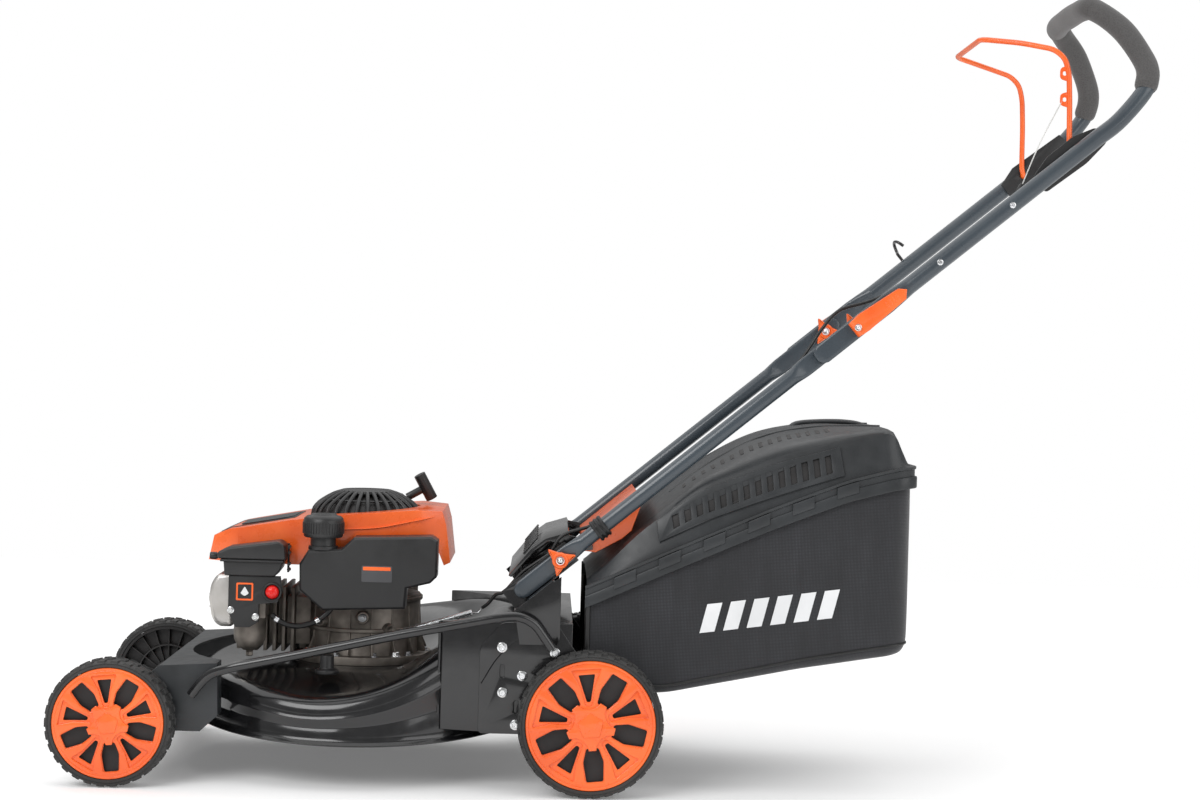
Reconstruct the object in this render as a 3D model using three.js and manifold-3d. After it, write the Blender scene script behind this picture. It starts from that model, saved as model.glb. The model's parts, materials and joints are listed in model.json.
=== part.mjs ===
// Push lawn mower with a petrol engine, a folding handle and a rear grass bag.
// Millimetres. +Z is up, the handle points to +X, the mower's left side is -Y.
// While it is drawn, X = 0 is the front axle. At the end the model is moved along X
// so that its origin lies at the bottom centre of its bounding box.
import * as THREE from "three";
import Module from "manifold-3d";
import { mergeVertices } from "three/addons/utils/BufferGeometryUtils.js";

const wasm = await Module();
wasm.setup();

// ---------- driving dimensions ----------
const GAP = 0.3; // clearance between pieces that touch
const RUNNING_GAP = 0.5; // clearance where a piece turns or slides

const WHEELBASE = 661.6;
const TRACK = 470; // between the middles of the left and right tyres
const TYRE_WIDTH = 44;
const FRONT_WHEEL_RADIUS = 88.2;
const REAR_WHEEL_RADIUS = 101.5;
const TYRE_DEPTH = 11; // rubber over the rim
const TREAD_FACETS = 36; // one facet stands flat on the ground
const AXLE_RADIUS = 6;
const WHEEL_HUB_RADIUS = 16;

const DECK_RADIUS = 240; // outside of the pressed shell
const DECK_WALL = 3;
const DECK_CENTRE_X = 325; // the crankshaft stands here
const DECK_RIM_Z = 62;
const DECK_TOP_Z = 154; // seat of the engine flange
const BLADE_RADIUS = 225;
const BLADE_Z = 78;

const HANDLE_ANGLE = 39.8; // degrees above level
const HANDLE_PIVOT = [563, 280]; // X, Z of the lower handle's hinge bolt
const HANDLE_HALF_WIDTH = 178.6; // tube centres from the mid-plane
const LOWER_TUBE_RADIUS = 11;
const UPPER_TUBE_RADIUS = 12;
const LOWER_TUBE_LENGTH = 596; // hinge bolt to cam bolt
const UPPER_LEG_LENGTH = 430; // cam bolt to the first bend
const GRIP_RADIUS = 16.5;

const CRANK_RADIUS = 11;

// ---------- colours and finishes ----------
const FINISHES = {
  orange: ["#ff6a26", 0.35, 0],
  blackPaint: ["#17181a", 0.3, 0.2],
  tubePaint: ["#556069", 0.4, 0.4],
  blackPlastic: ["#242527", 0.55, 0],
  greyPlastic: ["#3f4345", 0.55, 0],
  rubber: ["#2f2f30", 0.9, 0],
  foam: ["#3e3c3d", 0.95, 0],
  castAlloy: ["#5d5752", 0.6, 0.8],
  brightAlloy: ["#b9b6b0", 0.45, 0.8],
  zinc: ["#c9ccd0", 0.35, 1],
  steel: ["#8d9094", 0.4, 1],
  fabric: ["#232428", 0.95, 0],
  primerRed: ["#d8201c", 0.35, 0],
  blackCable: ["#161617", 0.5, 0],
};

const radians = THREE.MathUtils.degToRad;

function finish(name) {
  const [color, roughness, metalness] = FINISHES[name];
  return new THREE.MeshStandardMaterial({ color, roughness, metalness });
}

// ---------- solids ----------
function toSolid(geometry) {
  const plain = geometry.index ? geometry.toNonIndexed() : geometry.clone();
  plain.deleteAttribute("normal");
  plain.deleteAttribute("uv");
  const merged = mergeVertices(plain, 1e-4);
  const vertProperties = new Float32Array(merged.attributes.position.array);
  const triVerts = new Uint32Array(merged.index.array);
  return new wasm.Manifold(new wasm.Mesh({ numProp: 3, vertProperties, triVerts }));
}

function toGeometry(solid) {
  const mesh = solid.getMesh();
  const geometry = new THREE.BufferGeometry();
  geometry.setAttribute("position", new THREE.BufferAttribute(mesh.vertProperties, 3));
  geometry.setIndex(new THREE.BufferAttribute(mesh.triVerts, 1));
  return geometry;
}

function join(first, ...others) {
  return toGeometry(others.reduce((body, other) => body.add(toSolid(other)), toSolid(first)));
}

function cut(first, ...tools) {
  return toGeometry(tools.reduce((body, tool) => body.subtract(toSolid(tool)), toSolid(first)));
}

// ---------- shapes ----------
function box(low, high) {
  const size = high.map((value, i) => value - low[i]);
  const middle = high.map((value, i) => (value + low[i]) / 2);
  return new THREE.BoxGeometry(...size).translate(...middle);
}

// A plate with its outline in X and Z, standing from yLow to yHigh.
function sidePlate(outline, yLow, yHigh, bevel = 0) {
  const shape = new THREE.Shape(outline.map(([x, z]) => new THREE.Vector2(x, z)));
  return raise(shape, yHigh - yLow, bevel).rotateX(Math.PI / 2).translate(0, yHigh, 0);
}

// A slab with its outline in X and Y, lying from zLow to zHigh.
function slab(outline, zLow, zHigh, bevel = 0) {
  const shape = new THREE.Shape(outline.map(([x, y]) => new THREE.Vector2(x, y)));
  return raise(shape, zHigh - zLow, bevel).translate(0, 0, zLow);
}

function raise(shape, height, bevel) {
  const geometry = new THREE.ExtrudeGeometry(shape, {
    depth: height - 2 * bevel,
    bevelEnabled: bevel > 0,
    bevelThickness: bevel,
    bevelSize: bevel,
    bevelOffset: -bevel,
    bevelSegments: 1,
    curveSegments: 6,
  });
  return geometry.translate(0, 0, bevel);
}

function rod(axis, centre, radius, low, high, sides = 16) {
  return spun(axis, centre, [[0, low], [radius, low], [radius, high], [0, high]], sides);
}

function ring(axis, centre, inner, outer, low, high, sides = 24) {
  const profile = [[inner, low], [outer, low], [outer, high], [inner, high], [inner, low]];
  return spun(axis, centre, profile, sides);
}

// A turned piece: the profile holds [radius, place along the axis] from low to high.
// The other two coordinates of the axis are given by centre, in the order X, Y, Z.
function spun(axis, centre, profile, sides = 24, phase = 0) {
  const points = profile.map(([radius, along]) => new THREE.Vector2(radius, along));
  const geometry = new THREE.LatheGeometry(points, sides, phase);
  if (axis === "y") return geometry.translate(centre[0], 0, centre[1]);
  if (axis === "z") return geometry.rotateX(Math.PI / 2).translate(centre[0], centre[1], 0);
  return geometry.rotateZ(-Math.PI / 2).translate(0, centre[0], centre[1]);
}

// A curve that the tubes follow, with one ring of the tube at each listed point.
class Route extends THREE.Curve {
  constructor(points) {
    super();
    this.points = points.map((point) => new THREE.Vector3(...point));
  }

  getPoint(t, target = new THREE.Vector3()) {
    const last = this.points.length - 1;
    const i = Math.min(Math.floor(t * last), last - 1);
    return target.lerpVectors(this.points[i], this.points[i + 1], t * last - i);
  }

  getUtoTmapping(u) {
    return u;
  }
}

function tube(points, radius, sides = 10) {
  const section = new THREE.Shape();
  for (let i = 0; i < sides; i += 1) {
    const angle = (2 * Math.PI * (i + 0.5)) / sides;
    const corner = [radius * Math.cos(angle), radius * Math.sin(angle)];
    if (i === 0) section.moveTo(...corner);
    else section.lineTo(...corner);
  }
  const options = { steps: points.length - 1, extrudePath: new Route(points), bevelEnabled: false };
  return new THREE.ExtrudeGeometry(section, options);
}

// Rounds the corners of a path: each corner starts to bend `reach` before it.
function rounded(points, reach, steps = 4) {
  const corners = points.map((point) => new THREE.Vector3(...point));
  const path = [corners[0]];
  for (let i = 1; i < corners.length - 1; i += 1) {
    const before = corners[i].clone().sub(corners[i - 1]);
    const after = corners[i + 1].clone().sub(corners[i]);
    const trim = Math.min(reach, before.length() * 0.49, after.length() * 0.49);
    const start = corners[i].clone().addScaledVector(before.normalize(), -trim);
    const end = corners[i].clone().addScaledVector(after.normalize(), trim);
    path.push(...new THREE.QuadraticBezierCurve3(start, corners[i], end).getPoints(steps));
  }
  path.push(corners[corners.length - 1]);
  return path.map((point) => point.toArray());
}

// ---------- the model ----------
const mower = new THREE.Group();

function add(name, geometry, finishName) {
  const mesh = new THREE.Mesh(geometry, finish(finishName));
  mesh.name = name;
  mower.add(mesh);
}

// The same piece on both sides: build(side) gets -1 for the left and +1 for the right.
function addPair(name, build, finishName) {
  add(`${name}_left`, build(-1), finishName);
  add(`${name}_right`, build(1), finishName);
}

// Orders two Y values, so a piece can be drawn outwards on either side.
function span(side, inner, outer) {
  return side < 0 ? [-outer, -inner] : [inner, outer];
}

function intersect(first, second) {
  return toGeometry(toSolid(first).intersect(toSolid(second)));
}

// ---------- wheels and axles ----------
const COVER_SETBACK = 6; // the cover's back face, inside the tyre's outer face
const WHEEL_RIM_WALL = 4;

function tyre(radius, x, middle) {
  const half = TYRE_WIDTH / 2;
  const crown = radius / Math.cos(Math.PI / TREAD_FACETS);
  const inner = radius - TYRE_DEPTH;
  const shoulder = 5;
  const profile = [
    [inner, middle - half],
    [radius - shoulder, middle - half],
    [crown, middle - half + shoulder],
    [crown, middle + half - shoulder],
    [radius - shoulder, middle + half],
    [inner, middle + half],
    [inner, middle - half],
  ];
  return spun("y", [x, radius], profile, TREAD_FACETS, Math.PI / TREAD_FACETS);
}

function wheelCore(radius, x, side) {
  const bore = AXLE_RADIUS + RUNNING_GAP;
  const rim = radius - TYRE_DEPTH - GAP - 0.5;
  const inside = -TYRE_WIDTH / 2 + 2;
  const outside = TYRE_WIDTH / 2 - COVER_SETBACK - GAP;
  const web = outside - 4;
  const profile = [
    [bore, inside],
    [WHEEL_HUB_RADIUS, inside],
    [WHEEL_HUB_RADIUS, web],
    [rim - WHEEL_RIM_WALL, web],
    [rim - WHEEL_RIM_WALL, inside],
    [rim, inside],
    [rim, outside],
    [bore, outside],
    [bore, inside],
  ];
  return mirrored(spun("y", [x, radius], profile, 24), side, (side * TRACK) / 2);
}

// Moves a piece drawn for the right side (+Y) out to `middle`, mirrored on the left.
function mirrored(geometry, side, middle) {
  if (side > 0) return geometry.translate(0, middle, 0);
  const plain = geometry.index ? geometry.toNonIndexed() : geometry;
  plain.scale(1, -1, 1);
  const places = plain.attributes.position;
  for (let i = 0; i < places.count; i += 3) {
    const swapped = [places.getX(i), places.getY(i), places.getZ(i)];
    places.setXYZ(i, places.getX(i + 1), places.getY(i + 1), places.getZ(i + 1));
    places.setXYZ(i + 1, ...swapped);
  }
  return plain.translate(0, middle, 0);
}

function wheelCover(radius, x, side) {
  const rim = radius - TYRE_DEPTH - GAP - 0.5;
  const disc = new THREE.Shape().absarc(0, 0, rim, 0, 2 * Math.PI);
  for (let spoke = 0; spoke < 5; spoke += 1) {
    const middle = radians(72 * spoke + 90);
    disc.holes.push(coverWindow(middle, 10, 17, rim));
    disc.holes.push(coverWindow(middle + radians(36), 4, 9, rim));
  }
  const plate = raiseRound(disc, 6);
  const cap = new THREE.LatheGeometry([[0, 0], [rim * 0.32, 0], [rim * 0.26, 9], [0, 9]].map(
    ([r, along]) => new THREE.Vector2(r, along)), 5).rotateX(Math.PI / 2);
  const cover = join(plate, cap).rotateX(-Math.PI / 2);
  const place = TYRE_WIDTH / 2 - COVER_SETBACK;
  return mirrored(cover.translate(x, place, radius), side, (side * TRACK) / 2);
}

function raiseRound(shape, height) {
  return new THREE.ExtrudeGeometry(shape, { depth: height, bevelEnabled: false, curveSegments: 24 });
}

function coverWindow(middle, innerHalf, outerHalf, rim) {
  const corner = (r, angle) => new THREE.Vector2(r * Math.cos(angle), r * Math.sin(angle));
  return new THREE.Path([
    corner(rim * 0.44, middle - radians(innerHalf)),
    corner(rim * 0.86, middle - radians(outerHalf)),
    corner(rim * 0.86, middle + radians(outerHalf)),
    corner(rim * 0.44, middle + radians(innerHalf)),
  ]);
}

const AXLES = [
  { name: "front", x: 0, radius: FRONT_WHEEL_RADIUS },
  { name: "rear", x: WHEELBASE, radius: REAR_WHEEL_RADIUS },
];
const AXLE_HALF_LENGTH = TRACK / 2 + TYRE_WIDTH / 2 - COVER_SETBACK - 2;
for (const { name, x, radius } of AXLES) {
  add(`${name}_axle`, rod("y", [x, radius], AXLE_RADIUS, -AXLE_HALF_LENGTH, AXLE_HALF_LENGTH), "zinc");
  addPair(`${name}_tyre`, (side) => tyre(radius, x, (side * TRACK) / 2), "rubber");
  addPair(`${name}_wheel`, (side) => wheelCore(radius, x, side), "blackPlastic");
  addPair(`${name}_wheel_cover`, (side) => wheelCover(radius, x, side), "orange");
}

// ---------- deck ----------
const TUNNEL_HALF_WIDTH = 206; // inside the rear wheels
const TUNNEL_TOP_Z = 236;
const TUNNEL_REAR_X = 634;
const CRANK_HOLE_RADIUS = 48;
const ENGINE_SEAT_RADIUS = 108;
const DECK_SIDES = 44;

// The pressed shoulder climbs round the deck towards the rear: [angle from +X, height].
const SHOULDER = [
  [-180, 150], [-140, 146], [-100, 122], [-72, 147], [-53, 196], [-39, 219], [0, 236], [40, 232],
  [90, 200], [140, 164], [180, 150],
];
function shoulderHeight(angle) {
  const degrees = THREE.MathUtils.radToDeg(angle);
  const i = Math.max(1, SHOULDER.findIndex(([end]) => end >= degrees));
  const [[from, low], [to, high]] = [SHOULDER[i - 1], SHOULDER[i]];
  return THREE.MathUtils.lerp(low, high, THREE.MathUtils.clamp((degrees - from) / (to - from), 0, 1));
}

function rimHeight(angle) {
  const lift = 15;
  return DECK_RIM_Z + lift * (1 - Math.abs(Math.sin(angle)) ** 1.5);
}

// The round shell: a turned profile whose heights change with the angle round the crank.
function deckBowl() {
  const outer = DECK_RADIUS;
  const inner = DECK_RADIUS - DECK_WALL;
  const seat = DECK_TOP_Z;
  // radius, share of the way from the engine seat to the shoulder, height above that
  const profile = [
    { r: CRANK_HOLE_RADIUS, rise: 0, lift: -DECK_WALL },
    { r: ENGINE_SEAT_RADIUS, rise: 0, lift: -DECK_WALL },
    { r: ENGINE_SEAT_RADIUS + 55, rise: 0.6, lift: -DECK_WALL },
    { r: inner - 22, rise: 1, lift: -DECK_WALL },
    { r: inner, rise: 1, lift: -22 },
    { r: inner, rim: 1 },
    { r: outer + 7, rim: 1 },
    { r: outer + 7, rim: 1, lift: DECK_WALL },
    { r: outer, rim: 1, lift: DECK_WALL },
    { r: outer, rise: 1, lift: -21 },
    { r: outer - 21, rise: 1, lift: 0 },
    { r: ENGINE_SEAT_RADIUS + 55, rise: 0.6, lift: 0 },
    { r: ENGINE_SEAT_RADIUS, rise: 0, lift: 0 },
    { r: CRANK_HOLE_RADIUS, rise: 0, lift: 0 },
    { r: CRANK_HOLE_RADIUS, rise: 0, lift: -DECK_WALL },
  ];
  const points = profile.map(({ r }) => new THREE.Vector2(r, 0));
  const geometry = new THREE.LatheGeometry(points, DECK_SIDES).rotateX(Math.PI / 2);
  const places = geometry.attributes.position;
  for (let i = 0; i < places.count; i += 1) {
    const { rise = 0, rim = 0, lift = 0 } = profile[i % profile.length];
    const angle = Math.atan2(places.getY(i), places.getX(i));
    const top = seat + rise * (shoulderHeight(angle) - seat);
    places.setZ(i, (rim ? rimHeight(angle) : top) + lift);
  }
  return geometry.translate(DECK_CENTRE_X, 0, 0);
}

const SIDE_PLATE_OUT = TUNNEL_HALF_WIDTH + DECK_WALL;
// The flat plate beside the tunnel carries the rear axle and the handle bracket.
function rearSidePlate(side) {
  const outline = [
    [505, 80], [505, 200], [535, 236], [612, 236], [WHEELBASE - 21.6, 196],
    [WHEELBASE + 38.4, 124], [WHEELBASE + 38.4, 86], [565, 80],
  ];
  const [low, high] = span(side, TUNNEL_HALF_WIDTH - 0.5, SIDE_PLATE_OUT);
  const axle = rod("y", [WHEELBASE, REAR_WHEEL_RADIUS], AXLE_RADIUS + GAP, low - 2, high + 2);
  const slots = [[537, 168], [558, 118]].map(([x, z]) => (
    box([x - 3, low - 1, z - 9], [x + 3, high + 1, z + 9])));
  return cut(sidePlate(outline, low, high), axle, ...slots);
}

// The rear tunnel carries the cut grass from the blade chamber up to the bag.
function deckShell() {
  const w = TUNNEL_HALF_WIDTH;
  const start = DECK_CENTRE_X + 60;
  const hull = sidePlate([
    [start, 84], [TUNNEL_REAR_X - 60, 80], [TUNNEL_REAR_X - 60, 130], [TUNNEL_REAR_X, 130],
    [TUNNEL_REAR_X, TUNNEL_TOP_Z], [start, TUNNEL_TOP_Z],
  ], -w, w);
  const hollow = sidePlate([
    [start - 1, 60], [TUNNEL_REAR_X - 60 - DECK_WALL, 60],
    [TUNNEL_REAR_X - 60 - DECK_WALL, 130 + DECK_WALL],
    [TUNNEL_REAR_X + 1, 130 + DECK_WALL], [TUNNEL_REAR_X + 1, TUNNEL_TOP_Z - DECK_WALL],
    [start - 1, TUNNEL_TOP_Z - DECK_WALL],
  ], -w + DECK_WALL, w - DECK_WALL);
  const chamber = rod("z", [DECK_CENTRE_X, 0], DECK_RADIUS - DECK_WALL, 40, 300, DECK_SIDES);
  const drum = rod("z", [DECK_CENTRE_X, 0], DECK_RADIUS, 84, TUNNEL_TOP_Z, DECK_SIDES);
  const door = box([DECK_CENTRE_X + 145, -w + 12, 90], [TUNNEL_REAR_X - 64, w - 12, 184]);
  const tunnel = toSolid(hull).subtract(toSolid(hollow)).subtract(toSolid(drum));
  const drumWall = toSolid(drum).intersect(toSolid(hull)).subtract(toSolid(chamber));
  const shell = toSolid(deckBowl()).add(drumWall).subtract(toSolid(door)).add(tunnel);
  return toGeometry(shell.add(toSolid(rearSidePlate(-1))).add(toSolid(rearSidePlate(1))));
}
add("deck_shell", deckShell(), "blackPaint");

const SKIRT_HALF_WIDTH = 204; // the front cover, inside the front wheels
const SKIRT_WALL = 3;

// The front cover bridges the front axle: a bent channel with an end plate on each side.
function frontCover() {
  const w = SKIRT_HALF_WIDTH;
  const outline = [[-14, 100], [18, 128], [60, 163], [140, 168], [142, 95], [118, 72], [-14, 72]];
  const inside = [[-11, 60], [-11, 99], [20, 125], [61, 160], [137, 165], [139, 95], [116, 60]];
  const channel = sidePlate(outline, -w, w);
  const hollow = sidePlate(inside, -w + SKIRT_WALL, w - SKIRT_WALL);
  const bowl = rod("z", [DECK_CENTRE_X, 0], DECK_RADIUS + 8 + GAP, 40, 260, DECK_SIDES);
  const axle = rod("y", [0, FRONT_WHEEL_RADIUS], AXLE_RADIUS + GAP, -w - 5, w + 5);
  return cut(channel, hollow, bowl, axle);
}
add("front_cover", frontCover(), "greyPlastic");

const RAIL_RADIUS = 7;
const RAIL_ROUTE = [
  [106, -212, 124], [128, -216, 153], [162, -230, 166], [258, -232, 187], [395, -232, 218],
  [532, -230, 245], [560, -227, 247], [581, -224, 237], [606, -221, 202],
];
add("side_rail", tube(rounded(RAIL_ROUTE, 12, 2), RAIL_RADIUS, 8), "blackPaint");

// The skirt that closes the gap behind the deck, in front of the rear axle.
function rearBaffle() {
  const w = TUNNEL_HALF_WIDTH - 1;
  return sidePlate([[640, 122], [690, 122], [690, 118], [644, 118], [644, 60], [640, 60]], -w, w);
}
add("rear_baffle", rearBaffle(), "blackPlastic");

const PORT = [288, -158];
function washPort() {
  const seat = 151;
  const profile = [[0, seat], [17, seat], [17, seat + 5], [10, seat + 8], [10, seat + 26], [0, seat + 26]];
  return spun("z", PORT, profile, 12);
}
add("wash_port", washPort(), "blackPlastic");

// ---------- handle ----------
// Places along the handle, from the hinge bolt.
const STAR_KNOB_AT = 66;
const CLAMP_AT = 138;
const CAM_AT = LOWER_TUBE_LENGTH;
const UPPER_START = CAM_AT - 71;
const GUIDE_AT = CAM_AT + 166;
const BAIL_AT = CAM_AT + 394;
const BEND_AT = CAM_AT + UPPER_LEG_LENGTH;
const BOLT_RADIUS = 4;
const BAIL_RADIUS = 4;
const BAIL_HOLE = (BAIL_RADIUS + GAP) / Math.cos(Math.PI / 8);
const FLAT_THICKNESS = 9;

// Turns a piece drawn along the handle (X from the hinge bolt, Z across it) into place.
function alongHandle(geometry) {
  return geometry.rotateY(-radians(HANDLE_ANGLE)).translate(HANDLE_PIVOT[0], 0, HANDLE_PIVOT[1]);
}

function handlePoint([along, y, across]) {
  const angle = radians(HANDLE_ANGLE);
  return [
    HANDLE_PIVOT[0] + along * Math.cos(angle) - across * Math.sin(angle),
    y,
    HANDLE_PIVOT[1] + along * Math.sin(angle) + across * Math.cos(angle),
  ];
}

const LOWER_Y = HANDLE_HALF_WIDTH - 5; // the lower tubes lie inside the upper ones
const LAP_Y = LOWER_Y + FLAT_THICKNESS + GAP; // the upper tube's flattened end, outside them

const FOOT_END_RADIUS = 13; // turns clear of the bracket's shelf as the handle folds
// The lower tube is flat where the bracket and the upper tube are bolted to it.
function lowerTube(side) {
  const r = LOWER_TUBE_RADIUS;
  const half = FLAT_THICKNESS / 2;
  const y = side * LOWER_Y;
  const round = rod("x", [y, 0], r, 96, UPPER_START - 25, 10);
  const footEnd = rod("y", [0, 0], FOOT_END_RADIUS, y - half, y + half, 16);
  const foot = join(footEnd, box([0, y - half, -13], [100, y + half, 13]));
  const head = box([UPPER_START - 29, y - half, -13], [CAM_AT + 26, y + half, 13]);
  const bolts = [0, STAR_KNOB_AT, CAM_AT].map((x) => (
    rod("y", [x, 0], BOLT_RADIUS + GAP, y - half - 1, y + half + 1, 10)));
  return alongHandle(cut(join(round, foot, head), ...bolts));
}
addPair("lower_tube", lowerTube, "tubePaint");

// The upper handle is one bent tube; its ends are flattened over the lower tubes.
const UPPER_BENDS = [
  [1420, 178.6, 1009], [1425, 172, 1034], [1419, 160, 1058], [1396, 139, 1098], [1366, 112, 1128],
  [1353, 78, 1136],
];
const BENDS_DRAWN_FOR = 1026; // the bends above belong to a first bend at this length
function handleRoute(start) {
  const leg = [[start, 0], [BEND_AT + 30, 0], [BEND_AT + 56, 3]].map(([along, across]) => (
    handlePoint([along, HANDLE_HALF_WIDTH, across])));
  return bothSides([...leg, ...movedAlong(UPPER_BENDS, BEND_AT - BENDS_DRAWN_FOR)]);
}

// Moves points along the handle when it is made longer or shorter.
function movedAlong(points, extra) {
  const angle = radians(HANDLE_ANGLE);
  return points.map(([x, y, z]) => [x + extra * Math.cos(angle), y, z + extra * Math.sin(angle)]);
}

// Joins a route on the right to its mirror image on the left.
function bothSides(right) {
  return [...right, ...right.map(([x, y, z]) => [x, -y, z]).reverse()];
}

const UPPER_FLAT_END = CAM_AT + 96;
function upperHandle() {
  const half = FLAT_THICKNESS / 2;
  let handle = tube(handleRoute(UPPER_FLAT_END - 6), UPPER_TUBE_RADIUS, 10);
  for (const side of [-1, 1]) {
    const y = side * LAP_Y;
    const flat = box([UPPER_START, y - half, -14], [UPPER_FLAT_END, y + half, 14]);
    const cam = rod("y", [CAM_AT, 0], BOLT_RADIUS + GAP, y - half - 1, y + half + 1, 10);
    const pin = rod("y", [BAIL_AT, 0], BAIL_HOLE, side * HANDLE_HALF_WIDTH - 20,
      side * HANDLE_HALF_WIDTH + 20, 8);
    handle = cut(join(handle, alongHandle(flat)), alongHandle(cam), alongHandle(pin));
  }
  return handle;
}
add("upper_handle", upperHandle(), "tubePaint");

// The foam sleeve covers the bends and the crossbar of the upper handle.
function foamGrip() {
  const bore = (UPPER_TUBE_RADIUS + GAP) / Math.cos(Math.PI / 10);
  const hole = handleRoute(BEND_AT + 20);
  return cut(tube(hole.slice(3, -3), GRIP_RADIUS, 10), tube(hole, bore, 10));
}
add("foam_grip", foamGrip(), "foam");

// The channel that holds the foot of the lower tube, with a skirt down to the side plate.
function handleBracket(side) {
  const web = LOWER_Y - FLAT_THICKNESS / 2 - GAP;
  const channel = [[-27, -17], [-27, 16], [86, 16], [86, -17]];
  const [webLow, webHigh] = span(side, web - DECK_WALL, web);
  const [low, high] = span(side, web - DECK_WALL, SIDE_PLATE_OUT + GAP + DECK_WALL);
  const back = alongHandle(sidePlate(channel, webLow, webHigh));
  const shelf = alongHandle(box([-27, low, -17], [42, high, -14]));
  const [skirtLow, skirtHigh] = span(side, SIDE_PLATE_OUT + GAP, SIDE_PLATE_OUT + GAP + DECK_WALL);
  const skirt = sidePlate([[552, 254], [560, 206], [612, 206], [616, 216], [616, 302]],
    skirtLow, skirtHigh);
  const bolts = [0, STAR_KNOB_AT].map((x) => (
    alongHandle(rod("y", [x, 0], BOLT_RADIUS + GAP, webLow - 1, webHigh + 1, 10))));
  return cut(join(back, shelf, skirt), ...bolts);
}
addPair("handle_bracket", handleBracket, "blackPaint");

const FOOT_OUTER = LOWER_Y + FLAT_THICKNESS / 2 + GAP;
// A three-pointed star nut, drawn round its bolt; the first point stands at `turn` degrees.
function starNut(side, at, inner, thickness, turn) {
  const [low, high] = span(side, inner, inner + thickness);
  const star = [];
  for (let i = 0; i < 6; i += 1) {
    const reach = i % 2 ? 12 : 25;
    const angle = radians(60 * i + turn);
    star.push([at + reach * Math.cos(angle), reach * Math.sin(angle)]);
  }
  const hole = rod("y", [at, 0], BOLT_RADIUS + GAP, low - 1, high + 1, 10);
  return alongHandle(cut(sidePlate(star, low, high), hole));
}
addPair("star_knob", (side) => starNut(side, STAR_KNOB_AT, FOOT_OUTER, 11, 100), "orange");

const LAP_OUTER = LAP_Y + FLAT_THICKNESS / 2 + GAP;
const LAP_INNER = LOWER_Y - FLAT_THICKNESS / 2 - GAP;
const CAM_WIDTH = 16;
addPair("star_nut", (side) => starNut(side, CAM_AT, LAP_INNER - 11, 11, 80), "orange");

// The cam lever lies along the outside of the handle. Its round nose turns against the tube.
function camLever(side) {
  const nose = CAM_WIDTH / 2 - GAP;
  const middle = side * (LAP_OUTER + CAM_WIDTH / 2);
  const plan = [];
  for (let i = 0; i <= 6; i += 1) {
    const angle = radians(90 + 30 * i);
    plan.push([CAM_AT + nose * Math.cos(angle), middle + nose * Math.sin(angle)]);
  }
  plan.push([CAM_AT + 87, middle - nose], [CAM_AT + 87, middle + nose]);
  const outline = [
    [CAM_AT - 12, -11], [CAM_AT - 12, 11], [CAM_AT + 12, 14], [CAM_AT + 78, 8],
    [CAM_AT + 87, 0], [CAM_AT + 78, -10], [CAM_AT + 10, -13],
  ];
  const body = intersect(slab(plan, -16, 16), sidePlate(outline, middle - nose - 1, middle + nose + 1));
  return alongHandle(cut(body, rod("y", [CAM_AT, 0], BOLT_RADIUS + GAP, middle - 20, middle + 20, 10)));
}
addPair("cam_lever", camLever, "orange");

// ---------- bail and its bracket ----------
const BAIL_DRAWN_AT = 990; // the points below belong to a bail pivot at this length
const BAIL_POINTS = [
  [1320, 157, 926], [1319, 155, 990], [1317, 155, 1032], [1311, 153, 1054], [1296, 148, 1067],
  [1253, 130, 1077],
  [1201, 94, 1086],
];
// The bail is one bent wire; each foot turns outwards into its hole in the handle.
function bail() {
  const [px, , pz] = handlePoint([BAIL_AT, 0, 0]);
  const points = movedAlong(BAIL_POINTS, BAIL_AT - BAIL_DRAWN_AT);
  return tube(bothSides([[px, 172, pz], [px, 159, pz], ...points]), BAIL_RADIUS, 8);
}
add("bail", bail(), "orange");

// The plastic bracket inside the right tube, which the bail's foot passes through.
function bailBracket() {
  const face = HANDLE_HALF_WIDTH - UPPER_TUBE_RADIUS - GAP;
  const outline = [[-35, -22], [-35, 10], [-5, 20], [85, 16], [90, -12], [50, -25]].map(([x, z]) => (
    [BAIL_AT + x, z]));
  const hole = rod("y", [BAIL_AT, 0], BAIL_HOLE, face - 10, face + 10, 8);
  return alongHandle(cut(sidePlate(outline, face - 4, face), hole));
}
add("bail_bracket", bailBracket(), "blackPlastic");

// The open wire loop on the right tube that the starter rope can be hooked into.
function ropeGuide() {
  const loop = 9;
  const foot = UPPER_TUBE_RADIUS + GAP;
  const path = [[GUIDE_AT, HANDLE_HALF_WIDTH, foot], [GUIDE_AT, HANDLE_HALF_WIDTH, foot + 10]];
  for (let i = 0; i <= 7; i += 1) {
    const angle = radians(-90 + 42 * i);
    const across = foot + 12 + loop + loop * Math.sin(angle);
    path.push([GUIDE_AT + 2 * i, HANDLE_HALF_WIDTH + loop * Math.cos(angle), across]);
  }
  return alongHandle(tube(path, 2.5, 6));
}
add("rope_guide", ropeGuide(), "blackPaint");

// ---------- brake cable ----------
const CABLE_RADIUS = 2.6;
const CABLE_Y = -(LOWER_Y - LOWER_TUBE_RADIUS - CABLE_RADIUS - GAP);
// Routes in world places; the three stretches meet end to end.
const CABLE_UPPER = [
  handlePoint([905, -161, 10]), handlePoint([880, -161.5, 3]), handlePoint([820, -162, 2]),
  handlePoint([740, -162, 3]), handlePoint([690, -160, 4]), handlePoint([640, -157, 15]),
  handlePoint([596, -156, 32]), handlePoint([560, -157, 27]), handlePoint([530, -158, 17]),
];
const CABLE_LOWER = [
  handlePoint([529, -158, 17]), handlePoint([495, -158, 8]), handlePoint([440, CABLE_Y, 6]),
  handlePoint([360, CABLE_Y, 6]), handlePoint([270, CABLE_Y, 6]), handlePoint([200, CABLE_Y, 7]),
  handlePoint([138, CABLE_Y, 8]), handlePoint([90, CABLE_Y, 24]), handlePoint([60, CABLE_Y, 16]),
];
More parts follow.
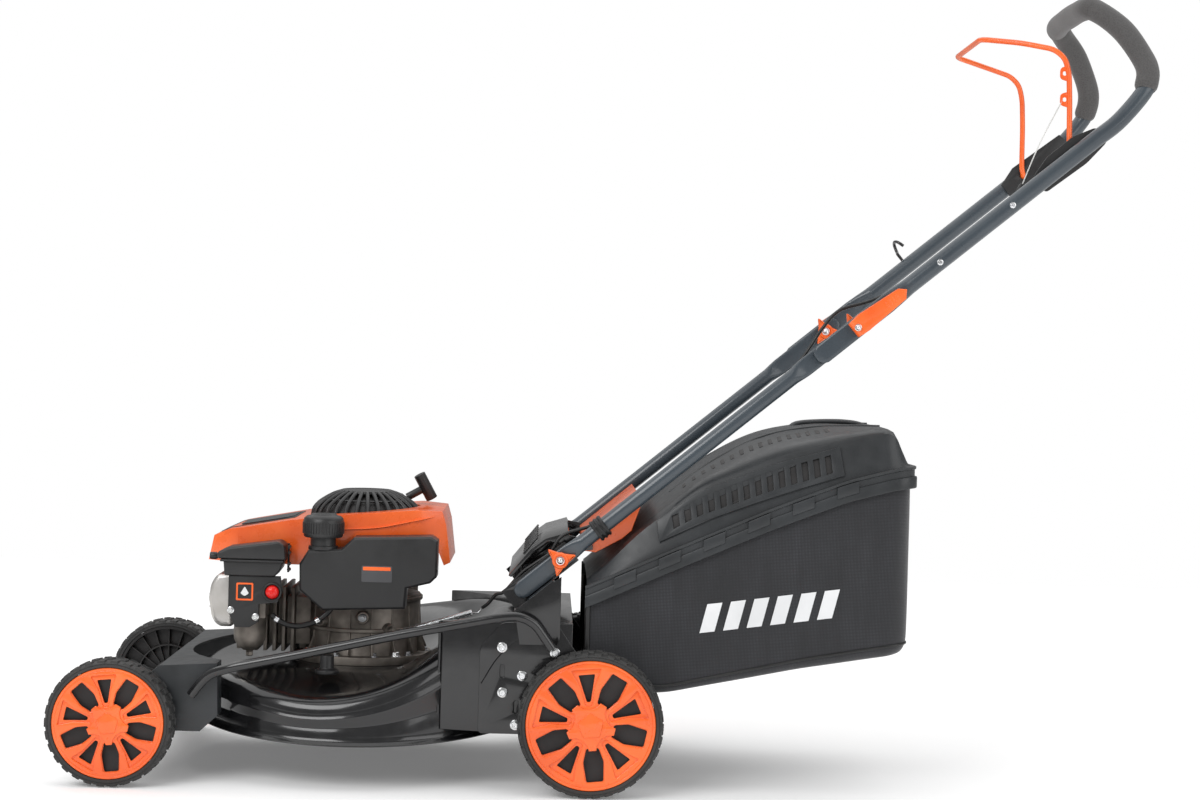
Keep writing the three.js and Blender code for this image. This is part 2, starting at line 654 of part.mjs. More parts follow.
// It starts on a line through the hinge bolt, so the two ends part cleanly when the handle folds.
const CABLE_ENGINE = [
  handlePoint([59, CABLE_Y, 15.7]), handlePoint([35, -159, 17]), handlePoint([10, -156, 18]),
  handlePoint([-25, -152, 12]), [524, -146, 268], [513, -137, 254], [505, -129, 247],
];
add("brake_cable_upper", tube(CABLE_UPPER, CABLE_RADIUS, 8), "blackCable");
add("brake_cable_lower", tube(CABLE_LOWER, CABLE_RADIUS, 8), "blackCable");
add("brake_cable_engine", tube(CABLE_ENGINE, CABLE_RADIUS, 8), "blackCable");

// The clamp holds the cable against the left lower tube.
function cableClamp() {
  const y = -LOWER_Y;
  const collar = rod("x", [y, 0], LOWER_TUBE_RADIUS + 4, CLAMP_AT - 9, CLAMP_AT + 9, 12);
  const block = box([CLAMP_AT - 9, y + 4, 0], [CLAMP_AT + 9, CABLE_Y + 6, 14]);
  const bore = rod("x", [y, 0], LOWER_TUBE_RADIUS + 2 * GAP, CLAMP_AT - 10, CLAMP_AT + 10, 12);
  const groove = box([CLAMP_AT - 10, CABLE_Y - 3.2, 4.2], [CLAMP_AT + 10, CABLE_Y + 3.2, 15]);
  return alongHandle(cut(join(collar, block), bore, groove));
}
add("cable_clamp", cableClamp(), "blackPlastic");

// ---------- engine ----------
const CRANK_AXIS = [DECK_CENTRE_X, 0];
const BLOCK_TOP_Z = 252;
const FLYWHEEL_Z = 268;
const SHROUD_WALL = 3;
const DIPSTICK = [385, 84];
const RECOIL_RADIUS = 80;

// Crankcase and cylinder are one casting: the cylinder points to the front with its fins.
function engineBlock() {
  const seat = DECK_TOP_Z + GAP;
  const flange = rod("z", CRANK_AXIS, ENGINE_SEAT_RADIUS - 6, seat, seat + 12, 24);
  const sump = rod("z", CRANK_AXIS, 84, seat + 11, BLOCK_TOP_Z, 24);
  const barrel = box([168, -38, 176], [270, 38, 246]);
  const fins = [0, 1, 2, 3, 4].map((i) => box([172 + 13 * i, -60, 168], [177 + 13 * i, 60, 262]));
  const head = box([146, -58, 170], [164.01, 58, 258]);
  const headNeck = box([164, -38, 176], [170, 38, 246]);
  const filler = rod("z", DIPSTICK, 15, 165, 262, 12);
  const crank = rod("z", CRANK_AXIS, CRANK_RADIUS + RUNNING_GAP, 100, 300, 16);
  const dipstickHole = rod("z", DIPSTICK, 9, 225, 270, 12);
  return cut(join(flange, sump, barrel, ...fins, headNeck, head, filler), crank, dipstickHole);
}
add("engine_block", engineBlock(), "castAlloy");

function crankshaft() {
  const r = CRANK_RADIUS;
  const low = BLADE_Z - 6;
  const profile = [
    [0, low], [8, low], [8, BLADE_Z + 12], [r, BLADE_Z + 12], [r, 296], [7, 296], [7, 322], [0, 322],
  ];
  return spun("z", CRANK_AXIS, profile, 16);
}
add("crankshaft", crankshaft(), "steel");

function flywheel() {
  const z = FLYWHEEL_Z;
  const bore = CRANK_RADIUS + GAP;
  const profile = [
    [bore, z], [78, z], [78, z + 26], [70, z + 26], [70, z + 8], [28, z + 8], [28, z + 26],
    [bore, z + 26], [bore, z],
  ];
  return spun("z", CRANK_AXIS, profile, 20);
}
add("flywheel", flywheel(), "castAlloy");

// The blade is a flat bar with raised sails at its trailing ends.
function blade() {
  const half = 24;
  const bar = [
    [-BLADE_RADIUS, -half], [BLADE_RADIUS - 4, -half], [BLADE_RADIUS, half], [-BLADE_RADIUS + 4, half],
  ];
  const flat = slab(bar.map(([x, y]) => [x + DECK_CENTRE_X, y]), BLADE_Z, BLADE_Z + 4);
  const sail = (side) => {
    const x = (reach) => DECK_CENTRE_X + side * reach;
    const [low, high] = [x(BLADE_RADIUS - 70), x(BLADE_RADIUS - 6)].sort((a, b) => a - b);
    const [yLow, yHigh] = span(side, half - 9, half - 1);
    return box([low, yLow, BLADE_Z + 3], [high, yHigh, BLADE_Z + 16]);
  };
  return cut(join(flat, sail(-1), sail(1)), rod("z", CRANK_AXIS, 8 + GAP, BLADE_Z - 1, BLADE_Z + 20, 16));
}
add("blade", blade(), "steel");

// The orange housing over the flywheel: its side outline, cut to its plan outline.
const SHROUD_TOP = [
  [104, 300], [112, 336], [136, 347], [228, 364], [300, 373], [404, 382], [442, 380], [448, 360],
  [455, 306],
];
const SHROUD_PLAN = [
  [104, -70], [150, -104], [240, -116], [400, -112], [455, -86], [455, 86], [400, 116], [240, 122],
  [150, 110], [104, 74],
];
function shroudBody(top, bottom, plan) {
  return intersect(sidePlate([...top, ...bottom], -130, 130), slab(plan, 270, 390));
}

function blowerHousing() {
  const wall = SHROUD_WALL;
  const towards = ([a, b], [middleA, middleB]) => [
    a + wall * Math.sign(middleA - a), b + wall * Math.sign(middleB - b)];
  const outer = shroudBody(SHROUD_TOP, [[446, 302], [438, 322], [300, 322], [240, 300]], SHROUD_PLAN);
  const roof = SHROUD_TOP.map((point) => towards(point, [DECK_CENTRE_X, 0]));
  const room = SHROUD_PLAN.map((point) => towards(point, [DECK_CENTRE_X, 0]));
  const inner = shroudBody(roof, [[452, 280], [107, 280]], room);
  const mouth = rod("z", CRANK_AXIS, RECOIL_RADIUS + GAP, 355, 400, 32);
  return cut(outer, inner, mouth);
}
add("blower_housing", blowerHousing(), "orange");

function recoilCover() {
  const r = RECOIL_RADIUS;
  const profile = [
    [r - 3, 362], [r, 362], [r - 2, 376], [60, 394], [34, 404], [0, 404], [0, 401], [33, 401],
    [58, 391.5], [r - 5, 375], [r - 3, 362],
  ];
  return spun("z", CRANK_AXIS, profile, 32);
}
add("recoil_cover", recoilCover(), "blackPlastic");

// The T-shaped grip stands on its stem, in line with the rope.
const ROPE_EXIT = [382, 44, 391];
const ROPE_PULL = [0.862, 0.132, 0.489];
function starterGrip() {
  const stem = rod("z", [0, 0], 6, 0, 24, 10);
  const bar = rod("x", [0, 32], 9, -22, 20, 10);
  const pull = new THREE.Vector3(...ROPE_PULL).normalize();
  const turn = new THREE.Quaternion().setFromUnitVectors(new THREE.Vector3(0, 0, 1), pull);
  return join(stem, bar).rotateZ(radians(12)).applyQuaternion(turn).translate(...ROPE_EXIT);
}
add("starter_grip", starterGrip(), "blackPlastic");

// ---------- left side of the engine: air filter, carburettor, fuel tank ----------
const FILTER_FACE_Y = -172;
const FILTER_BACK_Y = -121;
add("air_filter_base", sidePlate(
  [[139, 310], [222, 310], [220, 298], [212, 287], [141, 287]],
  FILTER_FACE_Y + 4, FILTER_BACK_Y), "blackPlastic");
add("air_filter_cover", sidePlate(
  [[131, 310.5], [131, 320], [146, 327], [216, 337], [225, 331], [227, 310.5]],
  FILTER_FACE_Y, FILTER_BACK_Y), "blackPlastic");

function carburettor() {
  const body = box([152, -149.5, 226], [198, -104, 272]);
  const bowl = spun("z", [174, -127], [[0, 176], [10, 178], [22, 192], [22, 224], [24, 224], [24, 227],
    [0, 227]], 16);
  const neck = rod("y", [182, 248], 15, -106, -61, 12);
  return join(body, bowl, neck);
}
add("carburettor", carburettor(), "castAlloy");

const PRIMER_TRAVEL = 5;
const PRIMER = [209, 265]; // X, Z of the button
const PRIMER_RADIUS = 9.5;
const PANEL_FACE_Y = -164;
add("primer_bulb", spun("y", PRIMER, [
  [0, PANEL_FACE_Y + 1], [PRIMER_RADIUS, PANEL_FACE_Y + 1], [PRIMER_RADIUS, PANEL_FACE_Y - 5],
  [6, PANEL_FACE_Y - 8], [0, PANEL_FACE_Y - 9],
].reverse(), 12), "primerRed");

function carburettorCover() {
  const outline = [
    [147, 286.5], [219, 286.5], [222, 265], [216, 250], [190, 247], [190, 222], [178, 214], [158, 214],
    [147, 236],
  ];
  const wellFloor = PANEL_FACE_Y + 1 + PRIMER_TRAVEL + GAP;
  const well = rod("y", PRIMER, PRIMER_RADIUS + RUNNING_GAP, PANEL_FACE_Y - 1, wellFloor, 12);
  return cut(sidePlate(outline, PANEL_FACE_Y, PANEL_FACE_Y + 12), well);
}
add("carburettor_cover", carburettorCover(), "blackPlastic");

const MUFFLER = [[121, 282], [111, 268], [108, 246], [113, 216], [123, 205], [145.5, 205], [145.5, 282]];
add("muffler", sidePlate(MUFFLER, -92, 0), "brightAlloy");

const TANK_FACE_Y = -168;
const TANK_BACK_Y = -119;
const TANK_WALL = 3;
const NECK = [277, -148];
const NECK_RADIUS = 18;
const NECK_TOP_Z = 351;
// A hollow tank: the filler neck is its only opening.
function fuelTank() {
  const outline = [
    [247, 269], [246, 306], [258, 326], [304, 328], [322, 345], [431, 349], [440, 343], [440, 292],
    [431, 283], [398, 275], [396, 246], [280, 241],
  ];
  const inside = [
    [251, 270], [250, 305], [260, 322], [306, 324], [324, 341], [430, 345], [436, 341], [436, 294],
    [429, 287],
    [394, 279], [392, 250], [282, 245],
  ];
  const neck = rod("z", NECK, NECK_RADIUS, 320, NECK_TOP_Z, 20);
  const throat = rod("z", NECK, NECK_RADIUS - TANK_WALL, 310, NECK_TOP_Z + 1, 20);
  const shell = sidePlate(outline, TANK_FACE_Y, TANK_BACK_Y, 3);
  return cut(join(shell, neck), sidePlate(inside, TANK_FACE_Y + TANK_WALL, TANK_BACK_Y - TANK_WALL), throat);
}
add("fuel_tank", fuelTank(), "blackPlastic");

function fuelCap() {
  const bottom = NECK_TOP_Z + GAP;
  const r = NECK_RADIUS + GAP;
  const profile = [
    [r, bottom - 8], [28, bottom - 8], [30, bottom + 16], [24, bottom + 26], [0, bottom + 26],
    [0, bottom], [r, bottom],
    [r, bottom - 8],
  ];
  return spun("z", NECK, profile, 20);
}
add("fuel_cap", fuelCap(), "blackPlastic");

function oilDipstick() {
  const profile = [[0, 228], [6, 228], [6, 262 + GAP], [15, 262 + GAP], [15, 280], [0, 280]];
  return spun("z", DIPSTICK, profile, 12);
}
add("oil_dipstick", oilDipstick(), "blackPlastic");

const SPRING_RADIUS = 4.6;
const SPRING_FRONT = [368, -119, 201];
const SPRING_REAR = [496, -121, 240.5];
add("brake_spring", tube([SPRING_FRONT, SPRING_REAR], SPRING_RADIUS, 10), "zinc");

// ---------- rear flap ----------
const FLAP_HINGE = [652, 342]; // X, Z
const FLAP_HALF_WIDTH = 150;
function rearFlap() {
  const w = FLAP_HALF_WIDTH;
  const block = [[645, 334], [645, 348], [656, 357], [724, 415], [729, 408], [714, 364], [700, 352],
    [664, 332]];
  const inside = [[664, 320], [664, 358], [723, 408], [740, 408], [740, 320]];
  const bore = rod("y", FLAP_HINGE, 3.6, -w - 1, w + 1, 12);
  return cut(sidePlate(block, -w, w), sidePlate(inside, -w + 3, w - 3), bore);
}
add("rear_flap", rearFlap(), "orange");

// The plate between the brackets that carries the flap's hinge rod.
function flapHinge() {
  const w = FLAP_HALF_WIDTH + 5;
  const plate = sidePlate([[541, 296], [571, 334], [592, 350], [624, 360], [626, 356], [594, 345],
    [575, 331], [545, 294]], -w, w);
  const rodPiece = rod("y", FLAP_HINGE, 3, -w, w, 12);
  const arms = [-1, 1].map((side) => {
    const [low, high] = span(side, FLAP_HALF_WIDTH + GAP, w);
    return sidePlate([[600, 346], [616, 357], [634, 354], [658, 350], [660, 336], [646, 334],
      [630, 344]], low, high);
  });
  return join(plate, ...arms, rodPiece);
}
add("flap_hinge", flapHinge(), "blackPaint");

// ---------- grass bag ----------
const BAG_HALF_WIDTH = 196;
const BAG_WALL = 4;
// The fabric tub is open at the front, where it meets the tunnel, and under the hood.
function bagFabric() {
  const outline = [
    [652, 252], [652, 140], [764, 136], [959, 176], [1073, 194], [1108, 199], [1120, 214], [1113, 438],
    [1016, 414], [915, 374], [780, 314],
  ];
  const inside = [
    [640, 290], [640, 145], [764, 141], [959, 181], [1073, 199], [1106, 203], [1115, 215], [1108, 470],
    [1016, 470], [780, 400],
  ];
  return cut(sidePlate(outline, -BAG_HALF_WIDTH, BAG_HALF_WIDTH),
    sidePlate(inside, -BAG_HALF_WIDTH + BAG_WALL, BAG_HALF_WIDTH - BAG_WALL));
}
add("bag_fabric", bagFabric(), "fabric");

// The hood clips over the rim of the fabric; it is highest along its middle.
function hoodShape(inset) {
  const lower = inset ? -40 : 0;
  const side = [
    [648 + inset, 256 + lower], [650 + inset, 296 - inset], [716, 350 - inset], [736, 384 - inset],
    [819, 455 - inset], [877, 494 - inset], [967, 522 - inset], [1086, 521 - inset],
    [1110 - inset, 512 - inset],
    [1117 - inset, 470 - inset], [1115 - inset, 440 + lower], [1016, 416 + lower], [915, 376 + lower],
    [780, 316 + lower],
  ];
  return sidePlate(side, -BAG_HALF_WIDTH + inset, BAG_HALF_WIDTH - inset);
}

function bagHood() {
  return cut(hoodShape(0), hoodShape(3));
}
add("bag_hood", bagHood(), "greyPlastic");

// ---------- origin ----------
const bounds = new THREE.Box3().setFromObject(mower);
mower.position.x = -(bounds.min.x + bounds.max.x) / 2;
mower.updateMatrixWorld(true);

export default mower;
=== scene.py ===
# %% [markdown]
# # A push lawn mower, finished over its CAD frame
# The CAD model fixes every size and every joint. This lesson loads it, and then gives each part the surface
# and the small detail that the real one has. Most new pieces ride on the CAD body they belong to, so they
# follow the same joints: folding handles, rolling wheels, a swinging flap, and a bag that lifts off.

import json
import math

import bmesh
import bpy
import numpy as np
from mathutils import Matrix, Vector


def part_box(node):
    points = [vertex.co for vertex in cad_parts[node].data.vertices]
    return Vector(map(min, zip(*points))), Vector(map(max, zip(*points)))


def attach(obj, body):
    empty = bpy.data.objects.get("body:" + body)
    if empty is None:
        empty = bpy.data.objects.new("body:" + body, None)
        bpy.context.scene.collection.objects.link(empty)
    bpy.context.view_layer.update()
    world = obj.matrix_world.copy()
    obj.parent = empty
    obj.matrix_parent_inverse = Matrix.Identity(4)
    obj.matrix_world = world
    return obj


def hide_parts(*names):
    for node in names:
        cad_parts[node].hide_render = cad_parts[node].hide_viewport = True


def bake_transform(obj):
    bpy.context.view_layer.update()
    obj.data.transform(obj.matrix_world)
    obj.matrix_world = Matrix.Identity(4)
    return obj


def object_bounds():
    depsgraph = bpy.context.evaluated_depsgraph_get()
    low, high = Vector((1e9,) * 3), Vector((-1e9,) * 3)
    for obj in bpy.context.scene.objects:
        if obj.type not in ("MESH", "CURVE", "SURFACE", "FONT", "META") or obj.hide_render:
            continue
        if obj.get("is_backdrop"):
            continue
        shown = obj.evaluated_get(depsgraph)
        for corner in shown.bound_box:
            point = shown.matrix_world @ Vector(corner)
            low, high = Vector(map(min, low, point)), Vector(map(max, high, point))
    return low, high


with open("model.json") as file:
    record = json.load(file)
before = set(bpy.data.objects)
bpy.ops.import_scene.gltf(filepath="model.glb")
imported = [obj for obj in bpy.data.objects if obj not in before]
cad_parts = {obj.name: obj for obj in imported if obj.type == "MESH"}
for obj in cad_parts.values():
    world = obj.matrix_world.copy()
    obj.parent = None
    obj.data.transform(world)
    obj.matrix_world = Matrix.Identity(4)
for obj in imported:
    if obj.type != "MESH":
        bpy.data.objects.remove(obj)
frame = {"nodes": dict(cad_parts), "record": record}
cad_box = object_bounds()
print("CAD box:", [tuple(round(c, 3) for c in corner) for corner in cad_box])

# %% [markdown]
# ## Where things are
# Machines are drawn from a datum. Here it is the front axle: drawings of the mower give each point in
# millimetres behind the front axle (X), right of the middle (Y) and above the ground (Z). `at` turns such a
# point into metres in the frame, and reads the axle's own place from the CAD, so nothing has to be fitted
# by eye.

# %% The datum
MM = 0.001
low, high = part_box("front_axle")
AXLE_X = (low.x + high.x) / 2


def at(x, y, z):
    return Vector((AXLE_X + x * MM, y * MM, z * MM))


print("front axle at X", round(AXLE_X, 4))

# %% [markdown]
# ## Camera, floor and light
# The camera stands level with the handle, three metres off the left side, with a portrait lens, so the two
# sides of the handle nearly overlap. The floor is a pale sheet. Three large soft panels light the mower as
# in a studio: big panels give the long soft highlights that black paint needs to show its shape. The room
# round it is dimmer than the white backdrop that is seen behind it, so that black parts stay black. Colours
# are shown plainly, with no film curve, so that the orange keeps its strength.

# %% Camera
YAW, PITCH, ROLL = 0.0232, 0.016, 0.0292
LENS = 65.64
forward = Vector((math.sin(YAW) * math.cos(PITCH), math.cos(YAW) * math.cos(PITCH), -math.sin(PITCH)))
level = Vector((math.cos(YAW), -math.sin(YAW), 0))
upward = level.cross(forward)
side_axis = math.cos(ROLL) * level + math.sin(ROLL) * upward
up_axis = -math.sin(ROLL) * level + math.cos(ROLL) * upward
camera_data = bpy.data.cameras.new("studio_camera")
camera_data.lens = LENS
camera_data.sensor_width = 36
camera = bpy.data.objects.new("studio_camera", camera_data)
turn = Matrix((side_axis, up_axis, -forward)).transposed().to_4x4()
camera.matrix_world = Matrix.Translation(at(591.63, -3257, 598.63)) @ turn
bpy.context.scene.collection.objects.link(camera)
bpy.context.scene.camera = camera
print("camera at", tuple(round(c, 3) for c in camera.location))


# %% Floor and soft panels
def studio_floor():
    wide, near, far = 10, -7, 3.0
    mesh = bpy.data.meshes.new("studio_floor")
    mesh.from_pydata([(-wide, near, 0), (wide, near, 0), (wide, far, 0), (-wide, far, 0)], [],
                     [(0, 1, 2, 3)])
    floor = bpy.data.objects.new("studio_floor", mesh)
    bpy.context.scene.collection.objects.link(floor)
    paper = bpy.data.materials.new("studio_paper")
    paper.use_nodes = True
    skin = paper.node_tree.nodes["Principled BSDF"]
    skin.inputs["Base Color"].default_value = (0.93, 0.93, 0.93, 1)
    skin.inputs["Roughness"].default_value = 0.9
    skin.inputs["Emission Color"].default_value = (1, 1, 1, 1)
    skin.inputs["Emission Strength"].default_value = 0.14
    mesh.materials.append(paper)
    floor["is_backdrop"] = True
    return floor


def soft_panel(name, place, target, width, power):
    data = bpy.data.lights.new(name, "AREA")
    data.shape = "RECTANGLE"
    data.size = width
    data.size_y = width * 0.8
    data.energy = power
    lamp = bpy.data.objects.new(name, data)
    aim = (Vector(target) - Vector(place)).to_track_quat("-Z", "Y")
    lamp.matrix_world = Matrix.Translation(place) @ aim.to_matrix().to_4x4()
    bpy.context.scene.collection.objects.link(lamp)


studio_floor()
soft_panel("key_panel", (-1.9, -2.6, 2.4), (0, 0, 0.4), 2.2, 62)
soft_panel("fill_panel", (2.4, -2.2, 1.6), (0, 0, 0.4), 2.4, 26)
soft_panel("top_panel", (0, 3.0, 6.0), (0, 3.0, 0), 14, 520)
sky = bpy.data.worlds.new("studio_sky")
sky.use_nodes = True
BACKDROP_STRENGTH, ROOM_STRENGTH = 1.0, 0.36
plain = sky.node_tree.nodes["Background"]
plain.inputs["Color"].default_value = (1, 1, 1, 1)
seen = sky.node_tree.nodes.new("ShaderNodeLightPath")
strength = sky.node_tree.nodes.new("ShaderNodeMapRange")
strength.inputs["To Min"].default_value = ROOM_STRENGTH
strength.inputs["To Max"].default_value = BACKDROP_STRENGTH
sky.node_tree.links.new(seen.outputs["Is Camera Ray"], strength.inputs["Value"])
sky.node_tree.links.new(strength.outputs["Result"], plain.inputs["Strength"])
bpy.context.scene.view_settings.view_transform = "Standard"
bpy.context.scene.world = sky
print("floor and", 3, "soft panels")

# %% [markdown]
# ## Finishes
# Every finish is a small node network. Broad noise shifts the colour a little, because no real part is one
# flat colour. A second noise moves the roughness, as handling and moulding do. A fine noise drives a bump
# for grain. All three read Object coordinates, so the pattern is in metres and stays put when a part swings
# on its joint.


# %% Node helpers
def add_node(tree, kind, settings=None, **inputs):
    made = tree.nodes.new(kind)
    for key, value in (settings or {}).items():
        setattr(made, key, value)
    for key, value in inputs.items():
        socket = made.inputs[key.replace("_", " ")]
        if isinstance(value, bpy.types.NodeSocket):
            tree.links.new(value, socket)
        else:
            socket.default_value = value
    return made


def shade(tree, factor, dark, light, low=0.35, high=0.65):
    """A colour between dark and light as factor goes from low to high."""
    ramp = add_node(tree, "ShaderNodeValToRGB", Fac=factor)
    first, last = ramp.color_ramp.elements
    first.position, last.position = low, high
    first.color, last.color = (*dark, 1), (*light, 1)
    return ramp.outputs["Color"]


def new_finish(name, roughness, metallic=0.0, coat=0.0, sheen=0.0):
    made = bpy.data.materials.new(name)
    made.use_nodes = True
    skin = made.node_tree.nodes["Principled BSDF"]
    skin.inputs["Roughness"].default_value = roughness
    skin.inputs["Metallic"].default_value = metallic
    skin.inputs["Coat Weight"].default_value = coat
    skin.inputs["Coat Roughness"].default_value = 0.06
    skin.inputs["Sheen Weight"].default_value = sheen
    place = add_node(made.node_tree, "ShaderNodeTexCoord").outputs["Object"]
    return made, made.node_tree, skin, place


def finish(name, dark, light, roughness, grain, grain_depth, mottle=14, spread=0.06, **more):
    """Mottled colour, uneven roughness and a fine grain whose size is one metre over `grain`."""
    made, tree, skin, place = new_finish(name, roughness, **more)
    broad = add_node(tree, "ShaderNodeTexNoise", Vector=place, Scale=mottle, Detail=5.0)
    tree.links.new(shade(tree, broad.outputs["Fac"], dark, light), skin.inputs["Base Color"])
    smears = add_node(tree, "ShaderNodeTexNoise", Vector=place, Scale=mottle * 4.0, Detail=6.0)
    worn = add_node(tree, "ShaderNodeMapRange", Value=smears.outputs["Fac"], From_Min=0.3, From_Max=0.7,
                    To_Min=roughness - spread, To_Max=roughness + spread)
    tree.links.new(worn.outputs["Result"], skin.inputs["Roughness"])
    fine = add_node(tree, "ShaderNodeTexNoise", Vector=place, Scale=grain, Detail=3.0)
    bump = add_node(tree, "ShaderNodeBump", Height=fine.outputs["Fac"], Strength=0.6,
                    Distance=grain_depth * MM)
    tree.links.new(bump.outputs["Normal"], skin.inputs["Normal"])
    return made


# %% Plastics and paints
ORANGE_DARK, ORANGE_LIGHT = (0.86, 0.115, 0.012), (1.0, 0.165, 0.022)
FINISH = {}
FINISH["orange_plastic"] = finish("orange_plastic", ORANGE_DARK, ORANGE_LIGHT, 0.3, 700, 0.012, coat=0.35)
FINISH["orange_paint"] = finish("orange_paint", ORANGE_DARK, ORANGE_LIGHT, 0.28, 350, 0.02, coat=0.3)
FINISH["black_paint"] = finish("black_paint", (0.0055, 0.0055, 0.006), (0.0095, 0.0095, 0.0105), 0.2, 260,
                               0.03,
                               coat=0.45)
FINISH["tube_paint"] = finish("tube_paint", (0.040, 0.052, 0.064), (0.048, 0.062, 0.075), 0.3, 900, 0.006,
                              spread=0.03, coat=0.3)
FINISH["black_plastic"] = finish("black_plastic", (0.011, 0.011, 0.0115), (0.018, 0.018, 0.0185), 0.42,
                                 1300, 0.06)
FINISH["grey_plastic"] = finish("grey_plastic", (0.019, 0.021, 0.023), (0.028, 0.031, 0.034), 0.4, 1500,
                                0.05)
FINISH["primer_red"] = finish("primer_red", (0.62, 0.008, 0.006), (0.8, 0.014, 0.01), 0.22, 500, 0.01)
FINISH["cable_black"] = finish("cable_black", (0.008, 0.008, 0.008), (0.014, 0.014, 0.014), 0.38, 900, 0.02)
# dark_inside is near black: the wheel cores' own black plastic, and painted shade in the recoil cage's
# slots, the hood's vent slots and the crown slots.
FINISH["dark_inside"] = finish("dark_inside", (0.012, 0.011, 0.011), (0.02, 0.018, 0.018), 0.55, 800, 0.05)
print("plastics and paints:", len(FINISH))

# %% [markdown]
# Rubber is dark and rough, with a deep grain. Cast alloy has a coarse sandy skin, and zinc plate
# has soft patches of lighter, slightly bluer tone.

# %% Rubber and metals
FINISH["tyre_rubber"] = finish("tyre_rubber", (0.021, 0.021, 0.021), (0.037, 0.036, 0.035), 0.62, 650, 0.12,
                               spread=0.1)
FINISH["cast_alloy"] = finish("cast_alloy", (0.13, 0.115, 0.1), (0.24, 0.215, 0.19), 0.48, 900, 0.25,
                              mottle=45,
                              metallic=0.75)
FINISH["bright_alloy"] = finish("bright_alloy", (0.5, 0.48, 0.45), (0.64, 0.62, 0.6), 0.36, 1100, 0.05,
                                mottle=30,
                                metallic=0.85)
FINISH["zinc"] = finish("zinc", (0.62, 0.63, 0.62), (0.82, 0.83, 0.86), 0.24, 1200, 0.02, mottle=90,
                        metallic=1.0)
FINISH["steel"] = finish("steel", (0.22, 0.22, 0.23), (0.4, 0.41, 0.42), 0.34, 1500, 0.05, mottle=40,
                         metallic=1.0)
FINISH["white_cord"] = finish("white_cord", (0.6, 0.6, 0.58), (0.75, 0.75, 0.73), 0.6, 2500, 0.1)


def foam_finish():
    """Closed-cell foam: small round pores, each darker than its rim with painted shade."""
    made, tree, skin, place = new_finish("grip_foam", 0.86, sheen=0.25)
    pores = add_node(tree, "ShaderNodeTexVoronoi", Vector=place, Scale=520.0)
    # Each pore is coloured darker than its rim: painted shade in the pore.
    shaded_pore_colour = shade(tree, pores.outputs["Distance"], (0.05, 0.048, 0.048), (0.082, 0.079, 0.078), 0.1, 0.6)
    tree.links.new(shaded_pore_colour, skin.inputs["Base Color"])
    bump = add_node(tree, "ShaderNodeBump", {"invert": True}, Height=pores.outputs["Distance"],
                    Strength=0.7,
                    Distance=0.35 * MM)
    tree.links.new(bump.outputs["Normal"], skin.inputs["Normal"])
    return made


FINISH["grip_foam"] = foam_finish()
print("finishes:", len(FINISH))

# %% [markdown]
# ## Tools for shapes
# Five small tools make nearly everything. `build` turns points and faces into an object. `claim` says which
# body a piece rides on, which finish it has, and which plain CAD nodes it stands for. `turned` spins a
# profile, as a lathe does. `swept` runs a round section along a smooth path, for tubes, wires and ropes.
# `eased` takes the CAD's own shape and softens its edges, because a moulded or pressed edge is never a
# knife edge, and light catches on it.

# %% Build and claim
SMOOTH_BELOW = math.radians(38)


def soften(mesh, angle=SMOOTH_BELOW):
    mesh.polygons.foreach_set("use_smooth", [True] * len(mesh.polygons))
    mesh.set_sharp_from_angle(angle=angle)


def build(name, points, faces, angle=SMOOTH_BELOW):
    mesh = bpy.data.meshes.new(name)
    mesh.from_pydata([tuple(p) for p in points], [], faces)
    work = bmesh.new()
    work.from_mesh(mesh)
    bmesh.ops.remove_doubles(work, verts=work.verts, dist=1e-6)
    bmesh.ops.recalc_face_normals(work, faces=work.faces)
    work.to_mesh(mesh)
    work.free()
    soften(mesh, angle)
    made = bpy.data.objects.new(name, mesh)
    bpy.context.scene.collection.objects.link(made)
    return made


def claim(piece, body, finish_name, slot_name, *nodes):
    piece.data.materials.clear()
    piece.data.materials.append(FINISH[finish_name])
    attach(piece, body)
    if nodes:
        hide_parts(*nodes)
    return piece


def bake_modifiers(piece):
    """The evaluated mesh becomes the piece's own, and no modifier stays on it."""
    bpy.context.view_layer.update()
    solid = bpy.data.meshes.new_from_object(piece.evaluated_get(bpy.context.evaluated_depsgraph_get()))
    piece.modifiers.clear()
    piece.data = solid
    return piece


def joined(name, pieces, angle=SMOOTH_BELOW):
    """One mesh from several closed pieces that belong to one part."""
    work = bmesh.new()
    for piece in pieces:
        work.from_mesh(piece.data)
        bpy.data.objects.remove(piece)
    mesh = bpy.data.meshes.new(name)
    work.to_mesh(mesh)
    work.free()
    soften(mesh, angle)
    made = bpy.data.objects.new(name, mesh)
    bpy.context.scene.collection.objects.link(made)
    return made


# %% Turned and swept shapes
def frame_of(axis):
    """Two directions square to axis."""
    along = Vector(axis).normalized()
    helper = Vector((0, 0, 1)) if abs(along.z) < 0.9 else Vector((1, 0, 0))
    across = along.cross(helper).normalized()
    return along, across, along.cross(across)


def turned(name, centre, axis, profile, sides=72):
    """profile is [radius, height along axis] in millimetres; a ring of it is drawn at each of the sides."""
    along, across, other = frame_of(axis)
    points, faces = [], []
    count = len(profile)
    for k in range(sides):
        angle = 2 * math.pi * k / sides
        out = across * math.cos(angle) + other * math.sin(angle)
        points += [centre + out * (r * MM) + along * (h * MM) for r, h in profile]
    for k in range(sides):
        here, there = k * count, (k + 1) % sides * count
        faces += [(here + i, here + (i + 1) % count, there + (i + 1) % count,
                   there + i) for i in range(count)]
    return build(name, points, faces)


def smooth_path(corners, step=4.0):
    """A path through every corner, as a Catmull-Rom spline with a point about every `step` millimetres."""
    corners = [Vector(c) for c in corners]
    padded = [2 * corners[0] - corners[1], *corners, 2 * corners[-1] - corners[-2]]
    path = []
    for a, b, c, d in zip(padded, padded[1:], padded[2:], padded[3:]):
        count = max(1, int((c - b).length / (step * MM)))
        for k in range(count):
            t = k / count
            path.append(0.5 * (2 * b + (c - a) * t + (2 * a - 5 * b + 4 * c - d) * t ** 2
                               + (3 * b - 3 * c + d - a) * t ** 3))
    return [*path, corners[-1]]


